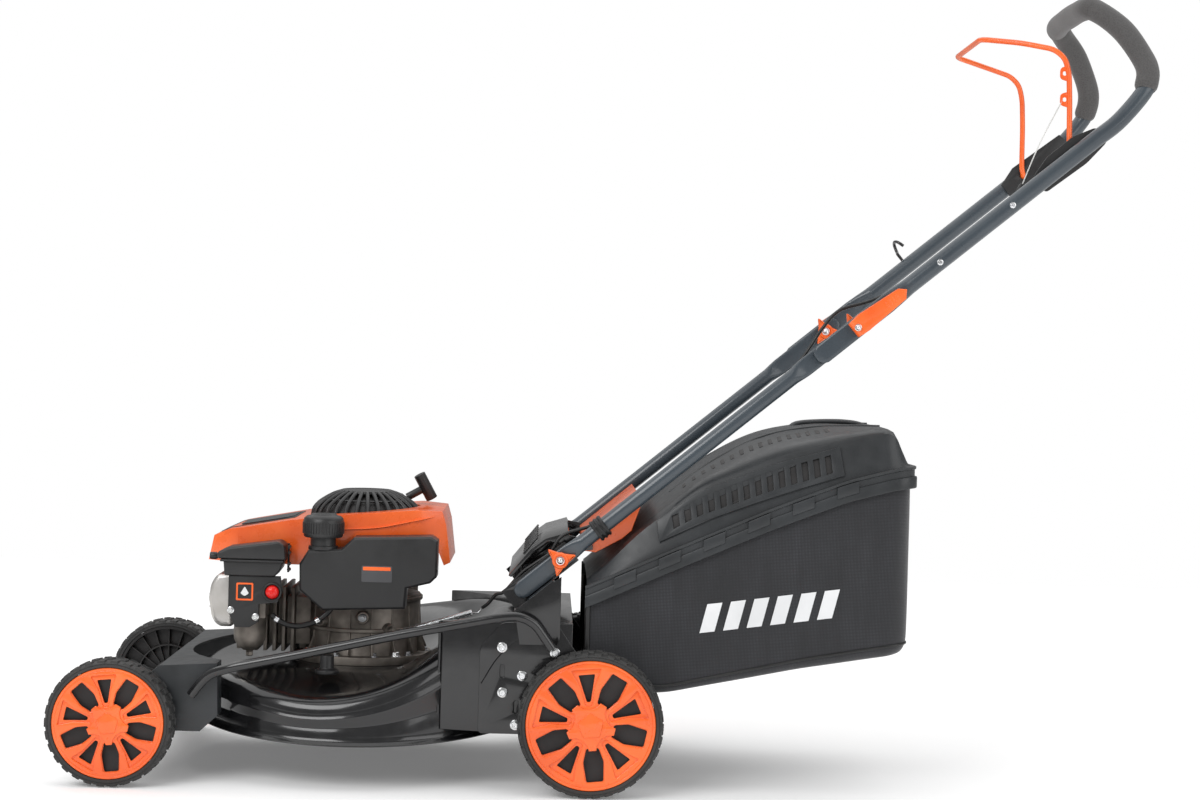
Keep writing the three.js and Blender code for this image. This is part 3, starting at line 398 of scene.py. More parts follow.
def swept(name, path, radius, sides=20, flat=1.0):
    """A round bar along path. The radius may be a rule of the share of the way along.

    A flat below 1 makes the second half-width smaller, as in a strap.
    """
    points, faces = [], []
    rule = radius if callable(radius) else (lambda share: radius)
    _, across, _ = frame_of(path[1] - path[0])
    for k, here in enumerate(path):
        ahead = (path[min(k + 1, len(path) - 1)] - path[max(k - 1, 0)]).normalized()
        across = (across - ahead * across.dot(ahead)).normalized()
        other = ahead.cross(across)
        thick = rule(k / (len(path) - 1)) * MM
        for j in range(sides):
            angle = 2 * math.pi * j / sides
            wide, deep = thick * math.cos(angle), thick * flat * math.sin(angle)
            points.append(here + across * wide + other * deep)
    for k in range(len(path) - 1):
        for j in range(sides):
            a, b = k * sides + j, k * sides + (j + 1) % sides
            faces.append((a, b, b + sides, a + sides))
    faces += [tuple(range(sides)), tuple(range((len(path) - 1) * sides, len(path) * sides))]
    return build(name, points, faces)


# %% Plates cut from a drawing
def plate(name, outline, holes, thickness, bevel, place):
    """A flat plate with holes and rounded edges.

    `place` turns drawing (u, v, w) in millimetres to a point.
    """
    curve = bpy.data.curves.new(name, "CURVE")
    curve.dimensions = "2D"
    curve.fill_mode = "BOTH"
    curve.extrude = max(thickness / 2 - bevel, 0.01)
    curve.bevel_depth = bevel
    curve.bevel_resolution = 2
    curve.offset = -bevel
    for ring in [outline, *holes]:
        spline = curve.splines.new("POLY")
        spline.points.add(len(ring) - 1)
        spline.use_cyclic_u = True
        for point, (u, v) in zip(spline.points, ring):
            point.co = (u, v, 0, 1)
    drawn = bpy.data.objects.new(name, curve)
    bpy.context.scene.collection.objects.link(drawn)
    bpy.context.view_layer.update()
    mesh = bpy.data.meshes.new_from_object(drawn.evaluated_get(bpy.context.evaluated_depsgraph_get()))
    bpy.data.objects.remove(drawn)
    points = [place(v.co.x, v.co.y, v.co.z + thickness / 2) for v in mesh.vertices]
    return build(name, points, [tuple(f.vertices) for f in mesh.polygons], math.radians(30))


def rounded_ring(corners, radius, steps=4):
    """The corners of a drawing, each rounded as a cutter would leave it."""
    ring = []
    count = len(corners)
    for k in range(count):
        before, corner, after = (Vector(corners[(k + d) % count]) for d in (-1, 0, 1))
        reach = min(radius, (before - corner).length * 0.45, (after - corner).length * 0.45)
        start = corner + (before - corner).normalized() * reach
        end = corner + (after - corner).normalized() * reach
        for s in range(steps + 1):
            t = s / steps
            ring.append((start * (1 - t) ** 2 + corner * 2 * t * (1 - t) + end * t ** 2)[:])
    return ring


def eased(node, width=1.0, segments=2, sharp=30):
    """A copy of a CAD node whose edges are rounded by width millimetres."""
    mesh = frame["nodes"][node].data.copy()
    work = bmesh.new()
    work.from_mesh(mesh)
    bmesh.ops.remove_doubles(work, verts=work.verts, dist=2e-5)
    bmesh.ops.dissolve_limit(work, angle_limit=math.radians(1.5), verts=work.verts, edges=work.edges)
    work.to_mesh(mesh)
    work.free()
    made = bpy.data.objects.new(node + "_shape", mesh)
    bpy.context.scene.collection.objects.link(made)
    edge = made.modifiers.new("edge", "BEVEL")
    edge.width = width * MM
    edge.segments = segments
    edge.limit_method = "ANGLE"
    edge.angle_limit = math.radians(sharp)
    bake_modifiers(made)
    soften(made.data, math.radians(40))
    return made


print("shape tools ready")

# %% [markdown]
# ## A tree that repeats one thing in many places
# Screws, tread blocks, slots and stitches are one small shape set down many times. The tree below takes a
# shape and a cloud of points, where each point also says how the shape is turned and how large it is.
# Geometry Nodes set one instance on each point, make them real, and give them their finish.


# %% The repeat tree
def repeat_tree():
    tree = bpy.data.node_groups.new("repeat_on_points", "GeometryNodeTree")
    face = tree.interface
    face.new_socket("Geometry", in_out="INPUT", socket_type="NodeSocketGeometry")
    face.new_socket("Item", in_out="INPUT", socket_type="NodeSocketObject")
    face.new_socket("Size", in_out="INPUT", socket_type="NodeSocketFloat")
    face.new_socket("Finish", in_out="INPUT", socket_type="NodeSocketMaterial")
    face.new_socket("Geometry", in_out="OUTPUT", socket_type="NodeSocketGeometry")
    given = tree.nodes.new("NodeGroupInput")
    result = tree.nodes.new("NodeGroupOutput")
    item = add_node(tree, "GeometryNodeObjectInfo", Object=given.outputs["Item"])
    turn_attribute = add_node(tree, "GeometryNodeInputNamedAttribute", {"data_type": "FLOAT_VECTOR"},
                              Name="turn")
    size_attribute = add_node(tree, "GeometryNodeInputNamedAttribute", {"data_type": "FLOAT_VECTOR"},
                              Name="stretch")
    sized = tree.nodes.new("ShaderNodeVectorMath")
    sized.operation = "SCALE"
    tree.links.new(size_attribute.outputs["Attribute"], sized.inputs[0])
    tree.links.new(given.outputs["Size"], sized.inputs["Scale"])
    place = add_node(tree, "GeometryNodeInstanceOnPoints", Points=given.outputs["Geometry"],
                     Instance=item.outputs["Geometry"], Scale=sized.outputs[0])
    rotation = tree.nodes.new("FunctionNodeEulerToRotation")
    tree.links.new(turn_attribute.outputs["Attribute"], rotation.inputs[0])
    tree.links.new(rotation.outputs[0], place.inputs["Rotation"])
    real = add_node(tree, "GeometryNodeRealizeInstances", Geometry=place.outputs["Instances"])
    painted = add_node(tree, "GeometryNodeSetMaterial", Geometry=real.outputs["Geometry"],
                       Material=given.outputs["Finish"])
    tree.links.new(painted.outputs["Geometry"], result.inputs[0])
    return tree


REPEAT = repeat_tree()
SOCKET = {s.name: s.identifier for s in REPEAT.interface.items_tree if s.in_out == "INPUT"}


def repeat(name, item, places, finish_name, size=1.0):
    """places is [(point, Matrix or None, (sx, sy, sz))]; the item object is used up."""
    mesh = bpy.data.meshes.new(name)
    mesh.from_pydata([tuple(p) for p, _, _ in places], [], [])
    turns = mesh.attributes.new("turn", "FLOAT_VECTOR", "POINT")
    stretches = mesh.attributes.new("stretch", "FLOAT_VECTOR", "POINT")
    for k, (_, rotation, stretch) in enumerate(places):
        turns.data[k].vector = rotation.to_euler() if rotation else (0, 0, 0)
        stretches.data[k].vector = stretch
    cloud = bpy.data.objects.new(name, mesh)
    bpy.context.scene.collection.objects.link(cloud)
    modifier = cloud.modifiers.new("repeat", "NODES")
    modifier.node_group = REPEAT
    modifier[SOCKET["Item"]] = item
    modifier[SOCKET["Size"]] = size
    modifier[SOCKET["Finish"]] = FINISH[finish_name]
    bake_modifiers(cloud)
    bpy.data.objects.remove(item)
    soften(cloud.data)
    return cloud


def facing(axis, spin=0.0):
    """The turn that takes +Z to axis, after a spin about itself."""
    along, across, other = frame_of(axis)
    return Matrix((across, other, along)).transposed() @ Matrix.Rotation(spin, 3, "Z")


print("repeat tree inputs:", sorted(SOCKET))

# %% [markdown]
# ## Wheels
# Each wheel is a black moulded core, a solid rubber tyre and an orange snap-on cover. The tyre's ring is
# turned; its tread blocks are one small wedge, repeated round both shoulders and in two staggered rows
# between them. The cover is cut from a drawing: five wide and five narrow windows leave ten spokes in
# pairs, and a second, thinner plate with larger cut-outs makes the dished tray round each narrow window.

# %% Wheel sizes
TYRE_HALF = 22.0
TYRE_DEPTH = 11.0
COVER_RIM_GAP = 0.8
WHEELS = []
for axle in ("front", "rear"):
    for side_name, side in (("left", -1), ("right", 1)):
        lowest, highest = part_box(f"{axle}_tyre_{side_name}")
        centre = (lowest + highest) / 2
        radius = (highest.x - lowest.x) / 2 / MM
        WHEELS.append((axle, side_name, side, centre, radius))
print("wheel radii:", [round(w[4], 1) for w in WHEELS])


def outward(centre, side):
    """A drawing's (u, v) becomes X and Z round the wheel's centre, and w goes out of the mower."""
    return lambda u, v, w: centre + Vector((u * MM, side * w * MM, v * MM))


# %% Tyres
def tread_block(name):
    """A wedge 1 long (X), 1 wide (Y) and 1 high (Z), narrower at its top, with one face slanted."""
    points = [(-0.5, -0.5, 0), (0.5, -0.5, 0), (0.62, 0.5, 0), (-0.38, 0.5, 0),
              (-0.38, -0.42, 1), (0.38, -0.42, 1), (0.5, 0.38, 1), (-0.26, 0.38, 1)]
    faces = [(0, 1, 2, 3), (4, 5, 6, 7), (0, 1, 5, 4), (1, 2, 6, 5), (2, 3, 7, 6), (3, 0, 4, 7)]
    return build(name, points, faces, math.radians(20))


def tyre(axle, side_name, side, centre, radius):
    base = radius - 2.6
    half = TYRE_HALF
    profile = [(radius - TYRE_DEPTH, -half + 1), (radius - TYRE_DEPTH + 1, -half), (base - 4.6, -half),
               (base - 4.2, -half + 0.7), (base - 3.6, -half + 0.7), (base - 3.2, -half + 0.2),
               (base - 1.6, -half + 1.0), (base, -half + 5), (base + 0.4, -6), (base + 0.4, 6),
               (base, half - 5),
               (base - 1.6, half - 1.0), (base - 3.2, half - 0.2), (base - 3.6, half - 0.7),
               (base - 4.2, half - 0.7), (base - 4.6, half), (radius - TYRE_DEPTH + 1, half),
               (radius - TYRE_DEPTH, half - 1)]
    carcass = turned("tyre_ring", centre, (0, 1, 0), profile, 120)
    count = 34 if axle == "rear" else 30
    pitch = 2 * math.pi / count
    places = []
    for k in range(count):
        for across, lean, width, wide_share, shift in (
                (-half + 4.6, -1, 8.4, 0.62, 0), (half - 4.6, 1, 8.4, 0.62, 0),
                (-4.6, -1, 7.6, 0.46, 0.5), (4.6, 1, 7.6, 0.46, 0.5)):
            angle = (k + shift) * pitch
            out = Vector((math.cos(angle), 0, math.sin(angle)))
            tangent = Vector((-math.sin(angle), 0, math.cos(angle)))
            tilt = 0.20 * lean if abs(across) > 8 else 0.0
            normal = (out + Vector((0, tilt, 0))).normalized()
            skew = (Vector((0, 1, 0)) + tangent * 0.18 * lean).normalized()
            width_axis = (skew - normal * skew.dot(normal)).normalized() * lean
            turn = Matrix((width_axis.cross(normal), width_axis, normal)).transposed()
            reach = base - (2.4 if tilt else 0.6)
            length = wide_share * pitch * radius
            foot = centre + out * (reach * MM) + Vector((0, across * MM, 0))
            rise = (radius - reach - (1.0 if tilt else 0.12)) * MM
            places.append((foot, turn, (length * MM, width * MM, rise)))
    blocks = repeat("tread_blocks", tread_block("tread_block"), places, "tyre_rubber")
    made = joined(f"{axle}_tyre_{side_name}_tread", [carcass, blocks], math.radians(30))
    claim(made, f"{axle}_{side_name}_wheel", "tyre_rubber", "tyre_rubber", f"{axle}_tyre_{side_name}")
    return len(made.data.polygons)


faces_made = [tyre(*wheel) for wheel in WHEELS]
print("tyre faces:", faces_made)

# %% [markdown]
# The cover's windows are drawn in polar form: a share of the rim's radius, and degrees either side of the
# middle of the window. The rim ring, the hub with its five lugs and the raised pentagon are added on top.


# %% Wheel covers
def polar(share, degrees, rim):
    angle = math.radians(degrees)
    return (share * rim * math.cos(angle), share * rim * math.sin(angle))


def window(middle, corners, rim, rounding):
    ring = [polar(share, middle - half, rim) for share, half in corners]
    ring += [polar(share, middle + half, rim) for share, half in reversed(corners)]
    return rounded_ring(ring, rounding)


WIDE = [(0.36, 15), (0.58, 15.8), (0.875, 8.6)]
NARROW = [(0.37, 4.6), (0.80, 9.2)]
TRAY = [(0.31, 9.5), (0.62, 10.0), (0.90, 15.0)]
WINDOW_PHASE = {"front": -84, "rear": -84}


def cover(axle, side_name, side, centre, radius):
    rim = radius - TYRE_DEPTH - COVER_RIM_GAP
    place = outward(centre, side)
    ring = [polar(1, k * 3, rim) for k in range(120)]
    upper_ring = [polar(0.955, k * 3, rim) for k in range(120)]
    phase = WINDOW_PHASE[axle]
    if side > 0:
        phase = 180 - phase
    wide = [window(phase + 72 * k, WIDE, rim, 3) for k in range(5)]
    wide_top = [window(phase + 72 * k, [(s, h + 0.9) for s, h in WIDE], rim, 3) for k in range(5)]
    narrow = [window(phase + 36 + 72 * k, NARROW, rim, 2) for k in range(5)]
    trays = [window(phase + 36 + 72 * k, TRAY, rim, 3) for k in range(5)]
    level = lambda start: (lambda u, v, w: place(u, v, w + start))
    pieces = [
        plate("cover_floor", ring, wide + narrow, 2.4, 0.5, level(16)),
        plate("cover_face", upper_ring, wide_top + trays, 3.0, 1.3, level(17.9)),
        turned("cover_rim",
               centre, (0, side, 0), [(rim - 5, 16.2), (rim - 0.4, 16.2), (rim, 16.8), (rim, 20.6),
               (rim - 0.8, 21.4), (rim - 3.2, 21.4), (rim - 4.6, 20.2), (rim - 5.2, 18)], 120),
    ]
    hub = []
    for k in range(5):
        for share, offset in ((0.30, -15), (0.385, -8.5), (0.385, 8.5), (0.30, 15), (0.255, 36)):
            hub.append(polar(share, phase + 72 * k + offset, rim))
    pieces.append(plate("cover_hub", rounded_ring(hub, 1.2), [], 4.0, 0.9, level(19.2)))
    pentagon = [polar(0.215, phase + 36 + 72 * k, rim) for k in range(5)]
    pieces.append(plate("cover_cap", rounded_ring(pentagon, 2.5), [], 3.4, 1.6, level(21.4)))
    inner = [polar(0.135, phase + 36 + 72 * k, rim) for k in range(5)]
    pieces.append(plate("cover_button", rounded_ring(inner, 1.5), [], 1.0, 0.45, level(23.9)))
    made = joined(f"{axle}_cover_{side_name}", pieces, math.radians(30))
    claim(made, f"{axle}_{side_name}_wheel", "orange_plastic", "orange_plastic",
          f"{axle}_wheel_cover_{side_name}")
    return len(made.data.polygons)


print("cover faces:", [cover(*wheel) for wheel in WHEELS])

# %% [markdown]
# Behind the cover the core is a dark dished disc. Seen from inside the mower it has two raised rings and a
# fan of thin ribs, which is what stiffens a moulded wheel.


# %% Wheel cores
def core(axle, side_name, side, centre, radius):
    rim = radius - TYRE_DEPTH - COVER_RIM_GAP
    outer = radius - TYRE_DEPTH - 0.4
    profile = [(16.5, -19), (19, -20), (22, -19), (23, -8), (rim * 0.58, -6), (rim * 0.60, -15),
               (rim * 0.63, -15),
               (rim * 0.65, -6), (outer - 5, -7), (outer - 4, -20), (outer, -20.5), (outer, 15),
               (outer - 3, 15.4),
               (outer - 5, 13), (rim * 0.62, 9), (24, 9), (20, 15), (16.5, 15)]
    dish = turned("core_dish", centre, (0, side, 0), profile, 96)
    rib = build("core_rib",
                [(-0.5, -0.5, 0), (0.5, -0.5, 0), (0.5, 0.5, 0), (-0.5, 0.5, 0), (-0.5, -0.5, 1),
                             (0.5, -0.5, 1), (0.5, 0.5, 1), (-0.5, 0.5, 1)],
                [(0, 1, 2, 3), (4, 5, 6, 7), (0, 1, 5, 4), (1, 2, 6, 5), (2, 3, 7, 6), (3, 0, 4, 7)])
    places = []
    axle_way = Vector((0, 1, 0))
    for k in range(20):
        angle = math.radians(18 * k)
        out = Vector((math.cos(angle), 0, math.sin(angle)))
        foot = centre + out * (23 * MM) + Vector((0, -side * 10.5 * MM, 0))
        stand = Matrix((axle_way, out.cross(axle_way), out)).transposed()
        places.append((foot, stand, (8.0 * MM, 1.6 * MM, (outer - 28) * MM)))
    ribs = repeat("core_ribs", rib, places, "black_plastic")
    made = joined(f"{axle}_core_{side_name}", [dish, ribs], math.radians(30))
    claim(made, f"{axle}_{side_name}_wheel", "dark_inside", "black_plastic", f"{axle}_wheel_{side_name}")


for wheel in WHEELS:
    core(*wheel)
print("cores:", len(WHEELS))

# %% [markdown]
# ## The deck
# A mower deck is pressed from one sheet. The round part climbs like a snail shell, so that the cut grass
# gains height on its way to the rear tunnel. The surface is a turned profile whose heights change with the
# angle round the crank, and two pressed beads run along its wall below the shoulder. The tunnel, its side
# plates and the wall between bowl and tunnel are plates cut to the same sizes as the CAD's.

# %% Deck sizes
DECK_CENTRE = at(325, 0, 0)
DECK_R, SEAT_R, CRANK_HOLE_R = 240.0, 108.0, 48.0
SEAT_Z, RIM_Z, TUNNEL_TOP = 154.0, 62.0, 236.0
SHOULDER_ANGLES = [-180, -140, -100, -72, -53, -39, 0, 40, 90, 140, 180]
SHOULDER_HEIGHTS = [150, 146, 122, 147, 196, 219, 236, 232, 200, 164, 150]


def shoulder(degrees):
    """Height of the pressed shoulder, averaged over a few degrees so that it climbs without a kink."""
    nearby = [(degrees + d + 180) % 360 - 180 for d in range(-12, 13, 3)]
    return float(np.mean(np.interp(nearby, SHOULDER_ANGLES, SHOULDER_HEIGHTS)))


def rim(degrees):
    return RIM_Z + 15 * (1 - abs(math.sin(math.radians(degrees))) ** 1.5)


# %% The pressed bowl
def bowl_profile(degrees):
    """[radius, height] round the sheet's section, outer skin first, then back along the inside."""
    top, low_edge = shoulder(degrees), rim(degrees)
    rise = lambda share: SEAT_Z + share * (top - SEAT_Z)
    outer = [(CRANK_HOLE_R, SEAT_Z), (SEAT_R - 2, SEAT_Z), (SEAT_R + 2, SEAT_Z - 1.5),
             (SEAT_R + 12, rise(0.05) - 3),
             (SEAT_R + 34, rise(0.34)), (SEAT_R + 58, rise(0.66)), (DECK_R - 44, rise(0.93)),
             (DECK_R - 30, rise(1))]
    for k in range(0, 7):
        angle = math.radians(15 * k)
        outer.append((DECK_R - 22 + 22 * math.sin(angle), rise(1) - 22 + 22 * math.cos(angle)))
    wall_top, wall_low = top - 24, low_edge + 9
    drop = wall_top - wall_low
    for share, swell in ((0.08, 0), (0.14, 1.8), (0.20, 1.8), (0.26, 0), (0.44, 0), (0.50, -1.6),
                         (0.58, -1.6),
                         (0.64, 0), (0.92, 0), (1.0, 0.6)):
        outer.append((DECK_R + swell, wall_top - share * drop))
    outer += [(DECK_R + 2.5, low_edge + 5), (DECK_R + 6, low_edge + 3), (DECK_R + 7, low_edge + 1.5)]
    inner = [(DECK_R + 6, low_edge + 0.2), (DECK_R + 1, low_edge + 0.6), (DECK_R - 2.4, low_edge + 4),
             (DECK_R - 3, wall_top), (DECK_R - 10, top - 12), (DECK_R - 24, top - 3),
             (DECK_R - 44, rise(0.93) - 3),
             (SEAT_R + 58, rise(0.66) - 3), (SEAT_R + 12, rise(0.05) - 5.8), (SEAT_R, SEAT_Z - 3),
             (CRANK_HOLE_R, SEAT_Z - 3)]
    return outer + inner


def deck_bowl(steps=180):
    points, faces = [], []
    for k in range(steps):
        degrees = -180 + 360 * k / steps
        out = Vector((math.cos(math.radians(degrees)), math.sin(math.radians(degrees)), 0))
        section = bowl_profile(degrees)
        points += [DECK_CENTRE + out * (r * MM) + Vector((0, 0, z * MM)) for r, z in section]
    count = len(section)
    for k in range(steps):
        here, there = k * count, (k + 1) % steps * count
        faces += [(here + i, here + (i + 1) % count, there + (i + 1) % count,
                   there + i) for i in range(count)]
    return build("deck_bowl", points, faces, math.radians(50))


# %% Tunnel and side plates
TUNNEL_HALF, TUNNEL_REAR = 206.0, 634.0


def flat_at(z):
    return lambda u, v, w: at(u, v, z + w)


def upright_at(y, side):
    """A drawing in X and Z, standing at y and growing outwards."""
    return lambda u, v, w: at(u, y + side * w, v)


def deck_tunnel():
    reach = math.degrees(math.asin(TUNNEL_HALF / DECK_R))
    arc = [(325 + 238 * math.cos(math.radians(a)), 238 * math.sin(math.radians(a)))
           for a in np.linspace(-reach, reach, 40)]
    roof = [*arc, (TUNNEL_REAR, TUNNEL_HALF - 0.5), (TUNNEL_REAR, -TUNNEL_HALF + 0.5)]
    parts = [plate("tunnel_roof", roof, [], 3, 0.8, flat_at(TUNNEL_TOP - 3))]
    parts.append(plate("tunnel_floor", [(574, -203), (634, -203), (634, 203), (574, 203)], [], 3, 0.8,
                       flat_at(130)))
    parts.append(plate("tunnel_step", [(-203, 80), (203, 80), (203, 132), (-203, 132)], [], 3, 0.8,
                       lambda u, v, w: at(571 + w, u, v)))
    for side in (-1, 1):
        wall = [(452, 84), (452, TUNNEL_TOP), (TUNNEL_REAR, TUNNEL_TOP), (TUNNEL_REAR, 130), (574, 130),
                (574, 80)]
        parts.append(plate("tunnel_wall", wall, [], 3, 1.2, upright_at(side * (TUNNEL_HALF - 3), side)))
        holes = [rounded_ring([(x - 3, z - 9), (x + 3, z - 9), (x + 3, z + 9), (x - 3, z + 9)], 3)
                 for x, z in ((537, 168), (558, 118))]
        outline = rounded_ring([(505, 80), (505, 200), (535, 236), (612, 236), (640, 196), (700, 124),
                                (700, 86),
                                (565, 80)], 7)
        parts.append(plate("side_plate", outline, holes, 3, 0.9, upright_at(side * TUNNEL_HALF, side)))
        ridge = smooth_path([at(x, side * 208.4, z) for x, z in ((508, 150), (530, 186), (560, 214),
                                                                 (600, 222))])
        parts.append(swept("plate_bead", ridge, 2.0, 10, 0.45))
    ring = [(238.6, 84), (239.4, 84), (239.4, TUNNEL_TOP - 0.6), (237, TUNNEL_TOP - 0.6), (237, 84)]
    points, faces = [], []
    angles = np.linspace(-reach, reach, 60)
    for a in angles:
        out = Vector((math.cos(math.radians(a)), math.sin(math.radians(a)), 0))
        points += [DECK_CENTRE + out * (r * MM) + Vector((0, 0, z * MM)) for r, z in ring]
    for k in range(len(angles) - 1):
        a, b = k * 5, (k + 1) * 5
        faces += [(a + i, a + (i + 1) % 5, b + (i + 1) % 5, b + i) for i in range(5)]
    faces += [tuple(range(5)), tuple(range(len(points) - 5, len(points)))]
    parts.append(build("drum_wall", points, faces))
    return parts


deck = joined("deck_pressing", [deck_bowl(), *deck_tunnel()], math.radians(45))
claim(deck, "mower_base", "black_paint", "black_paint", "deck_shell")
print("deck faces:", len(deck.data.polygons))

# %% [markdown]
# Bolts hold the plates together. One flanged hexagon bolt is drawn, and the repeat tree sets it at each
# place.


# %% Bolts
def hex_bolt(name="hex_bolt"):
    """A flange bolt 1 unit across its flange, standing on its flange and pointing up."""
    flange = turned("flange", Vector((0, 0, 0)), (0, 0, 1),
                    [(0, -60), (490, -60), (500, 20), (470, 90), (320, 150), (0, 150)], 24)
    head = turned("head", Vector((0, 0, 0)), (0, 0, 1),
                  [(0, 120), (330, 120), (330, 400), (280, 450), (120, 450), (100, 400), (0, 400)], 6)
    return joined(name, [flange, head], math.radians(25))


def bolts_at(name, spots, size, body, finish_name="zinc", item=None):
    """spots is [(point, direction)]; size is the flange's width in millimetres."""
    places = [(point, facing(axis, 0.7 * k), (size * MM,) * 3) for k, (point, axis) in enumerate(spots)]
    made = repeat(name, item or hex_bolt(), places, finish_name)
    return claim(made, body, finish_name, "zinc" if finish_name == "zinc" else "steel")


PLATE_BOLTS = [(536, 201), (565, 162), (538, 138), (557, 93), (610, 195)]
spots = [(at(x, side * 208.8, z), (0, side, 0)) for side in (-1, 1) for x, z in PLATE_BOLTS]
spots += [(at(325 + 94 * math.cos(math.radians(a)), 94 * math.sin(math.radians(a)), 166.4), (0, 0, 1))
          for a in (35, 125, 215, 305)]
bolts_at("deck_bolts", spots, 15, "mower_base")

# %% [markdown]
# ## Front cover, side rail, baffle and wash port
# The front cover is a plastic channel over the front axle, with a raised panel along its slope. The side
# rail is one bent tube that keeps the wheel from bumping the deck. The baffle behind the deck and the hose
# port are plain mouldings, so their CAD shapes are kept, with softened edges.


# %% Front cover
cover_shape = eased("front_cover", 2.2, 3)
panel = rounded_ring([(-120, 4), (120, 4), (104, 46), (-104, 46)], 9)
slope = (at(60, 0, 163) - at(18, 0, 128)).normalized()
square = Vector((-slope.z, 0, slope.x))
raised = plate("cover_panel", panel, [], 2.4, 1.1,
               lambda u,
               v, w: at(18, 0, 127) + Vector((0, u * MM, 0)) + slope * (v * MM) + square * ((w - 1.2) * MM))
front = joined("front_cover_shape", [cover_shape, raised])
claim(front, "mower_base", "grey_plastic", "grey_plastic", "front_cover")


# %% Side rail
def rounded_route(corners, radius, steps=6):
    """A route of straight runs whose corners are bent to radius millimetres."""
    path = [corners[0]]
    for before, corner, after in zip(corners, corners[1:], corners[2:]):
        reach = min(radius * MM, (before - corner).length * 0.45, (after - corner).length * 0.45)
        start = corner + (before - corner).normalized() * reach
        end = corner + (after - corner).normalized() * reach
        path += [start * (1 - t) ** 2 + corner * 2 * t * (1 - t) + end * t ** 2
                 for t in np.linspace(0, 1, steps + 1)]
    return [*path, corners[-1]]


RAIL = [(106, -212, 124), (128, -216, 153), (162, -230, 166), (258, -232, 187), (395, -232, 218),
        (532, -230, 245), (560, -227, 247), (581, -224, 237), (606, -221, 202)]
rail = swept("side_rail_tube", rounded_route([at(*p) for p in RAIL], 22), 6.8, 20)
claim(rail, "mower_base", "black_paint", "black_paint", "side_rail")
for node_name, body in (("rear_baffle", "mower_base"), ("wash_port", "mower_base")):
    claim(eased(node_name, 1.0), body, "black_plastic", "black_plastic", node_name)
print("front cover, rail, baffle and wash port done")

# %% [markdown]
# ## The folding handle
# Two lower tubes hinge on brackets beside the tunnel, and the upper tube is one bend that laps outside
# them. All of it lies on a line that climbs at about forty degrees, so places on it are given as
# millimetres along that line from the hinge bolt, then sideways, then square to the line. Each tube is
# pressed flat where a bolt goes through, so its section changes from a circle to a rounded bar: a loft of
# super-ellipses gives that shape in one skin.

# %% Places along the handle
HANDLE_TILT = math.radians(39.8)
HINGE_X, HINGE_Z = 563.0, 280.0
LOWER_Y, UPPER_Y, LAP_Y = 173.6, 178.6, 182.9
STAR_AT, CLAMP_AT, CAM_AT, GUIDE_AT, BAIL_AT = 66.0, 138.0, 596.0, 762.0, 990.0


def along(s, y, t=0.0):
    c, n = math.cos(HANDLE_TILT), math.sin(HANDLE_TILT)
    return at(HINGE_X + s * c - t * n, y, HINGE_Z + s * n + t * c)


def handle_face(s0, y0, side):
    """Drawings (u along, v across, w outwards) on the side of the handle."""
    return lambda u, v, w: along(s0 + u, y0 + side * w, v)


# %% Lofted tubes
def lofted(name, rings, side, sides=28):
    """rings is [(s, y, half height, half width)]; the flatter the ring, the squarer its corners."""
    points, faces = [], []
    for s, y, tall, wide in rings:
        power = 2 / (2 + 5 * (1 - wide / tall)) if wide < tall else 1
        for k in range(sides):
            angle = 2 * math.pi * k / sides
            c, n = math.cos(angle), math.sin(angle)
            points.append(along(s, side * (y + wide * math.copysign(abs(c) ** power, c)),
                                tall * math.copysign(abs(n) ** power, n)))
    for k in range(len(rings) - 1):
        for j in range(sides):
            a, b = k * sides + j, k * sides + (j + 1) % sides
            faces.append((a, b, b + sides, a + sides))
    faces += [tuple(range(sides)), tuple(range(len(points) - sides, len(points)))]
    return build(name, points, faces, math.radians(50))


FLAT = 4.5
LOWER_RINGS = [(-13, LOWER_Y, 4, 3.9), (-11, LOWER_Y, 7.6, FLAT), (-6, LOWER_Y, 11.6, FLAT),
               (0, LOWER_Y, 13, FLAT),
               (80, LOWER_Y, 13, FLAT), (92, LOWER_Y, 12.2, 7), (106, LOWER_Y, 11, 11),
               (484, LOWER_Y, 11, 11),
               (496, LOWER_Y, 12.2, 7), (506, LOWER_Y, 13, FLAT), (610, LOWER_Y, 13, FLAT),
               (618, LOWER_Y, 10, FLAT),
               (622, LOWER_Y, 5, 3.9)]
UPPER_RINGS = [(525, LAP_Y, 6, 3.9), (528, LAP_Y, 11, FLAT), (536, LAP_Y, 14, FLAT), (652, LAP_Y, 14, FLAT),
               (668, LAP_Y - 1.4, 13.2, 7.5), (690, UPPER_Y, 12, 12)]
for side_name, side in (("left", -1), ("right", 1)):
    claim(lofted(f"lower_tube_{side_name}_tube", LOWER_RINGS, side), "lower_handle", "tube_paint",
          "tube_paint",
          f"lower_tube_{side_name}")
BENDS = [(1420, 178.6, 1009), (1425, 172, 1034), (1419, 160, 1058), (1396, 139, 1098), (1366, 112, 1128),
         (1353, 78, 1136)]


def both_sides(right):
    """A route from the right side over to its mirror image on the left."""
    return [*right, *[Vector((p.x, -p.y, p.z)) for p in reversed(right)]]


leg = [along(s, UPPER_Y) for s in (690, 760, 840, 920, 980, 1026, 1070)]
bar = smooth_path(both_sides([*leg, *[at(*p) for p in BENDS]]), 6)
upper = joined("upper_handle_tube",
               [lofted("lap_left", UPPER_RINGS, -1), lofted("lap_right", UPPER_RINGS, 1),
                                     swept("upper_bar", bar, 12, 28)], math.radians(50))
claim(upper, "upper_handle_assembly", "tube_paint", "tube_paint", "upper_handle")
print("upper tube points along its path:", len(bar))

# %% [markdown]
# The grip is a foam sleeve. It swells a little between the bends, and is pinched at its two cut ends.

# %% Foam grip
sleeve = smooth_path(both_sides([at(*p) for p in BENDS]), 4)


